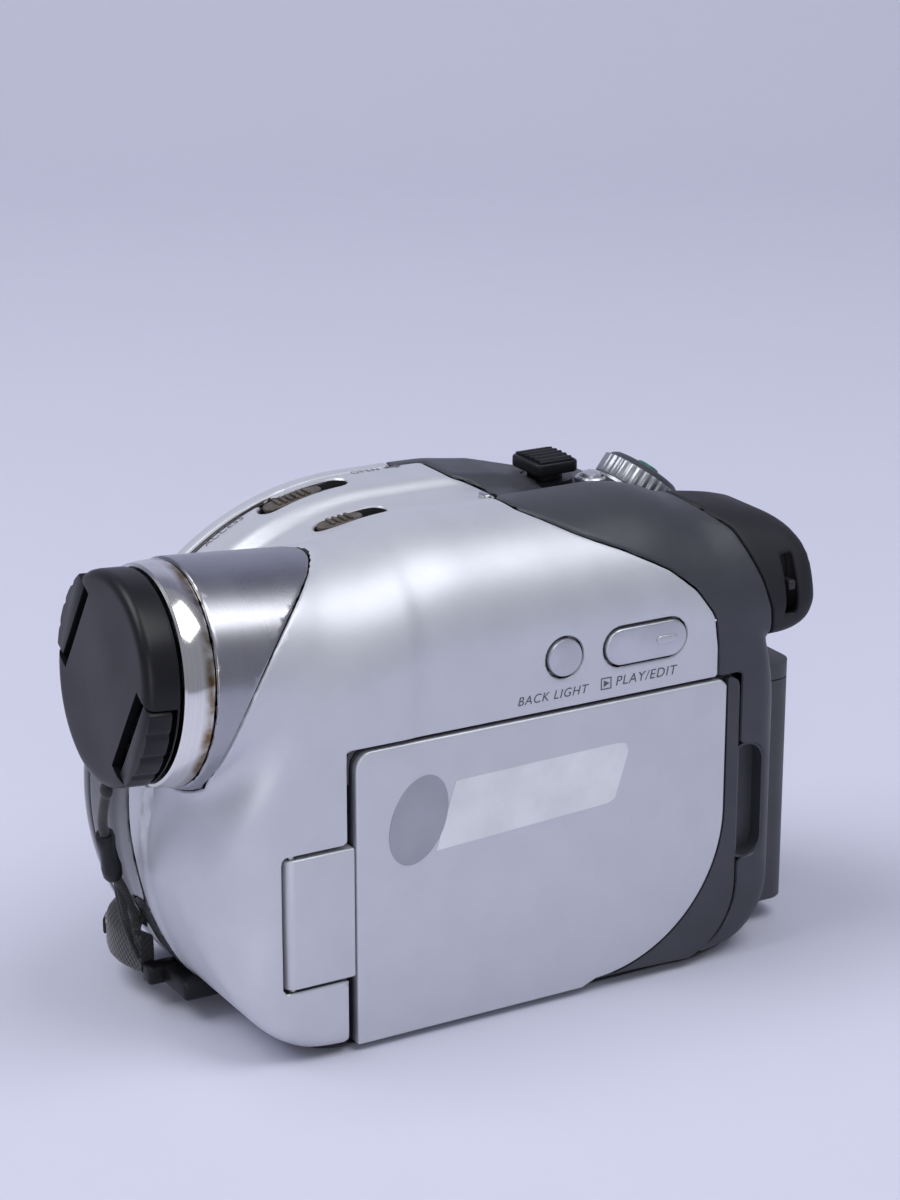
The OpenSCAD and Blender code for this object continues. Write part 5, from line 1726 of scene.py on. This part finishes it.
class CAMCORDER_OT_stage(bpy.types.Operator):
    """Sets the camera, the lights and the pale floor"""

    bl_idname = "camcorder.stage"
    bl_label = "Stage"

    azimuth: FloatProperty(name="Azimuth", description="Turn of the camera round the camcorder",
                           subtype="ANGLE", default=math.radians(60.08))
    elevation: FloatProperty(name="Elevation", description="Height of the camera above the floor",
                             subtype="ANGLE", default=math.radians(18.44))
    distance: FloatProperty(name="Distance", description="Distance of the camera", unit="LENGTH",
                            default=0.5639)

    def execute(self, context):
        target = Vector((0, 4.1, 69.2)) * MM
        flat = math.cos(self.elevation)
        back = Vector((math.sin(self.azimuth) * flat, -math.cos(self.azimuth) * flat,
                       math.sin(self.elevation)))
        deselect()
        bpy.ops.object.camera_add(location=target + back * self.distance)
        camera = named("camera")
        lean = Matrix.Rotation(math.radians(0.07), 3, "Z").to_quaternion()
        turn = back.to_track_quat("Z", "Y") @ lean
        camera.rotation_euler = turn.to_euler()
        camera.data.lens = 94.18
        camera.data.sensor_width = 36
        camera.data.clip_start = 0.01
        camera.data.clip_end = 20
        camera.data.dof.use_dof = False
        context.scene.camera = camera
        self.floor(back)
        self.lights()
        return {"FINISHED"}

    def floor(self, back):
        """A floor that curves up into a backdrop behind the camcorder."""
        bpy.ops.mesh.primitive_plane_add(size=1, location=(0, 0, 0))
        floor = named("floor")
        bm = bmesh.new()
        away = Vector((-back.x, -back.y, 0)).normalized()
        side = Vector((-away.y, away.x, 0))
        bend, start = 0.5, 0.75
        profile = [(-1.8, 0), (start, 0)]
        profile += [(start + bend * math.sin(a), bend - bend * math.cos(a))
                    for a in np.linspace(0.1, math.pi / 2, 16)]
        profile.append((start + bend, 3))
        rows = [[bm.verts.new(away * along + side * s + Vector((0, 0, up - 0.0002)))
                 for s in (-3, 3)] for along, up in profile]
        for a, b in zip(rows, rows[1:]):
            bm.faces.new((a[0], a[1], b[1], b[0]))
        bmesh.ops.recalc_face_normals(bm, faces=bm.faces)
        bm.to_mesh(floor.data)
        bm.free()
        activate(floor)
        bpy.ops.object.shade_smooth()
        floor.data.materials.append(finish_of("floor", colours().floor, rough=0.75, mottle=0.0))

    def lights(self):
        """Soft lights from above and in front, and an even pale surrounding."""
        for name, at, size, power, tone in (
                ("key_light", (-0.25, -0.75, 1.25), 0.9, 11.5, (0.97, 0.98, 1)),
                ("top_light", (0.5, 0.35, 1.3), 0.8, 7.5, (0.97, 0.98, 1)),
                ("front_light", (1.4, -0.7, 0.5), 0.9, 4.2, (1, 1, 1))):
            deselect()
            bpy.ops.object.light_add(type="AREA", location=at)
            lamp = named(name)
            lamp.data.size = size
            lamp.data.energy = power
            lamp.data.color = tone
            lamp.rotation_euler = (Vector(at) - Vector((0, 0, 0.05))).to_track_quat("Z", "Y").to_euler()
        world = bpy.data.worlds.new("surrounding")
        bpy.context.scene.world = world
        world.use_nodes = True
        world.node_tree.nodes["Background"].inputs["Color"].default_value = (0.64, 0.66, 0.78, 1)
        world.node_tree.nodes["Background"].inputs["Strength"].default_value = 0.42
        bpy.context.scene.view_settings.view_transform = "Standard"


class CAMCORDER_PT_panel(bpy.types.Panel):
    """Lists the steps that build the camcorder"""

    bl_idname = "CAMCORDER_PT_panel"
    bl_label = "Camcorder"
    bl_space_type = "VIEW_3D"
    bl_region_type = "UI"
    bl_category = "Camcorder"

    def draw(self, context):
        layout = self.layout
        for step in STEPS:
            layout.operator(step.bl_idname)
        for group in (context.scene.camcorder_sizes, context.scene.camcorder_colours):
            for label in group.__annotations__:
                layout.prop(group, label)


STEPS = (CAMCORDER_OT_stage, CAMCORDER_OT_cord, CAMCORDER_OT_shells, CAMCORDER_OT_lens,
         CAMCORDER_OT_screen, CAMCORDER_OT_controls, CAMCORDER_OT_eyecup, CAMCORDER_OT_battery,
         CAMCORDER_OT_strap, CAMCORDER_OT_marks)
CLASSES = (CamcorderSizes, CamcorderColours, *STEPS, CAMCORDER_PT_panel)


def register():
    """Registers the settings, the steps and the panel."""
    for item in CLASSES:
        bpy.utils.register_class(item)
    bpy.types.Scene.camcorder_sizes = PointerProperty(type=CamcorderSizes)
    bpy.types.Scene.camcorder_colours = PointerProperty(type=CamcorderColours)


def unregister():
    """Takes back what register() added."""
    del bpy.types.Scene.camcorder_colours
    del bpy.types.Scene.camcorder_sizes
    for item in reversed(CLASSES):
        bpy.utils.unregister_class(item)


def main():
    """Builds the whole camcorder."""
    register()
    make_materials()
    bpy.ops.camcorder.stage()
    bpy.ops.camcorder.cord()
    bpy.ops.camcorder.shells()
    bpy.ops.camcorder.lens()
    bpy.ops.camcorder.screen()
    bpy.ops.camcorder.controls()
    bpy.ops.camcorder.eyecup()
    bpy.ops.camcorder.battery()
    bpy.ops.camcorder.strap()
    bpy.ops.camcorder.marks()


if __name__ == "__main__":
    main()
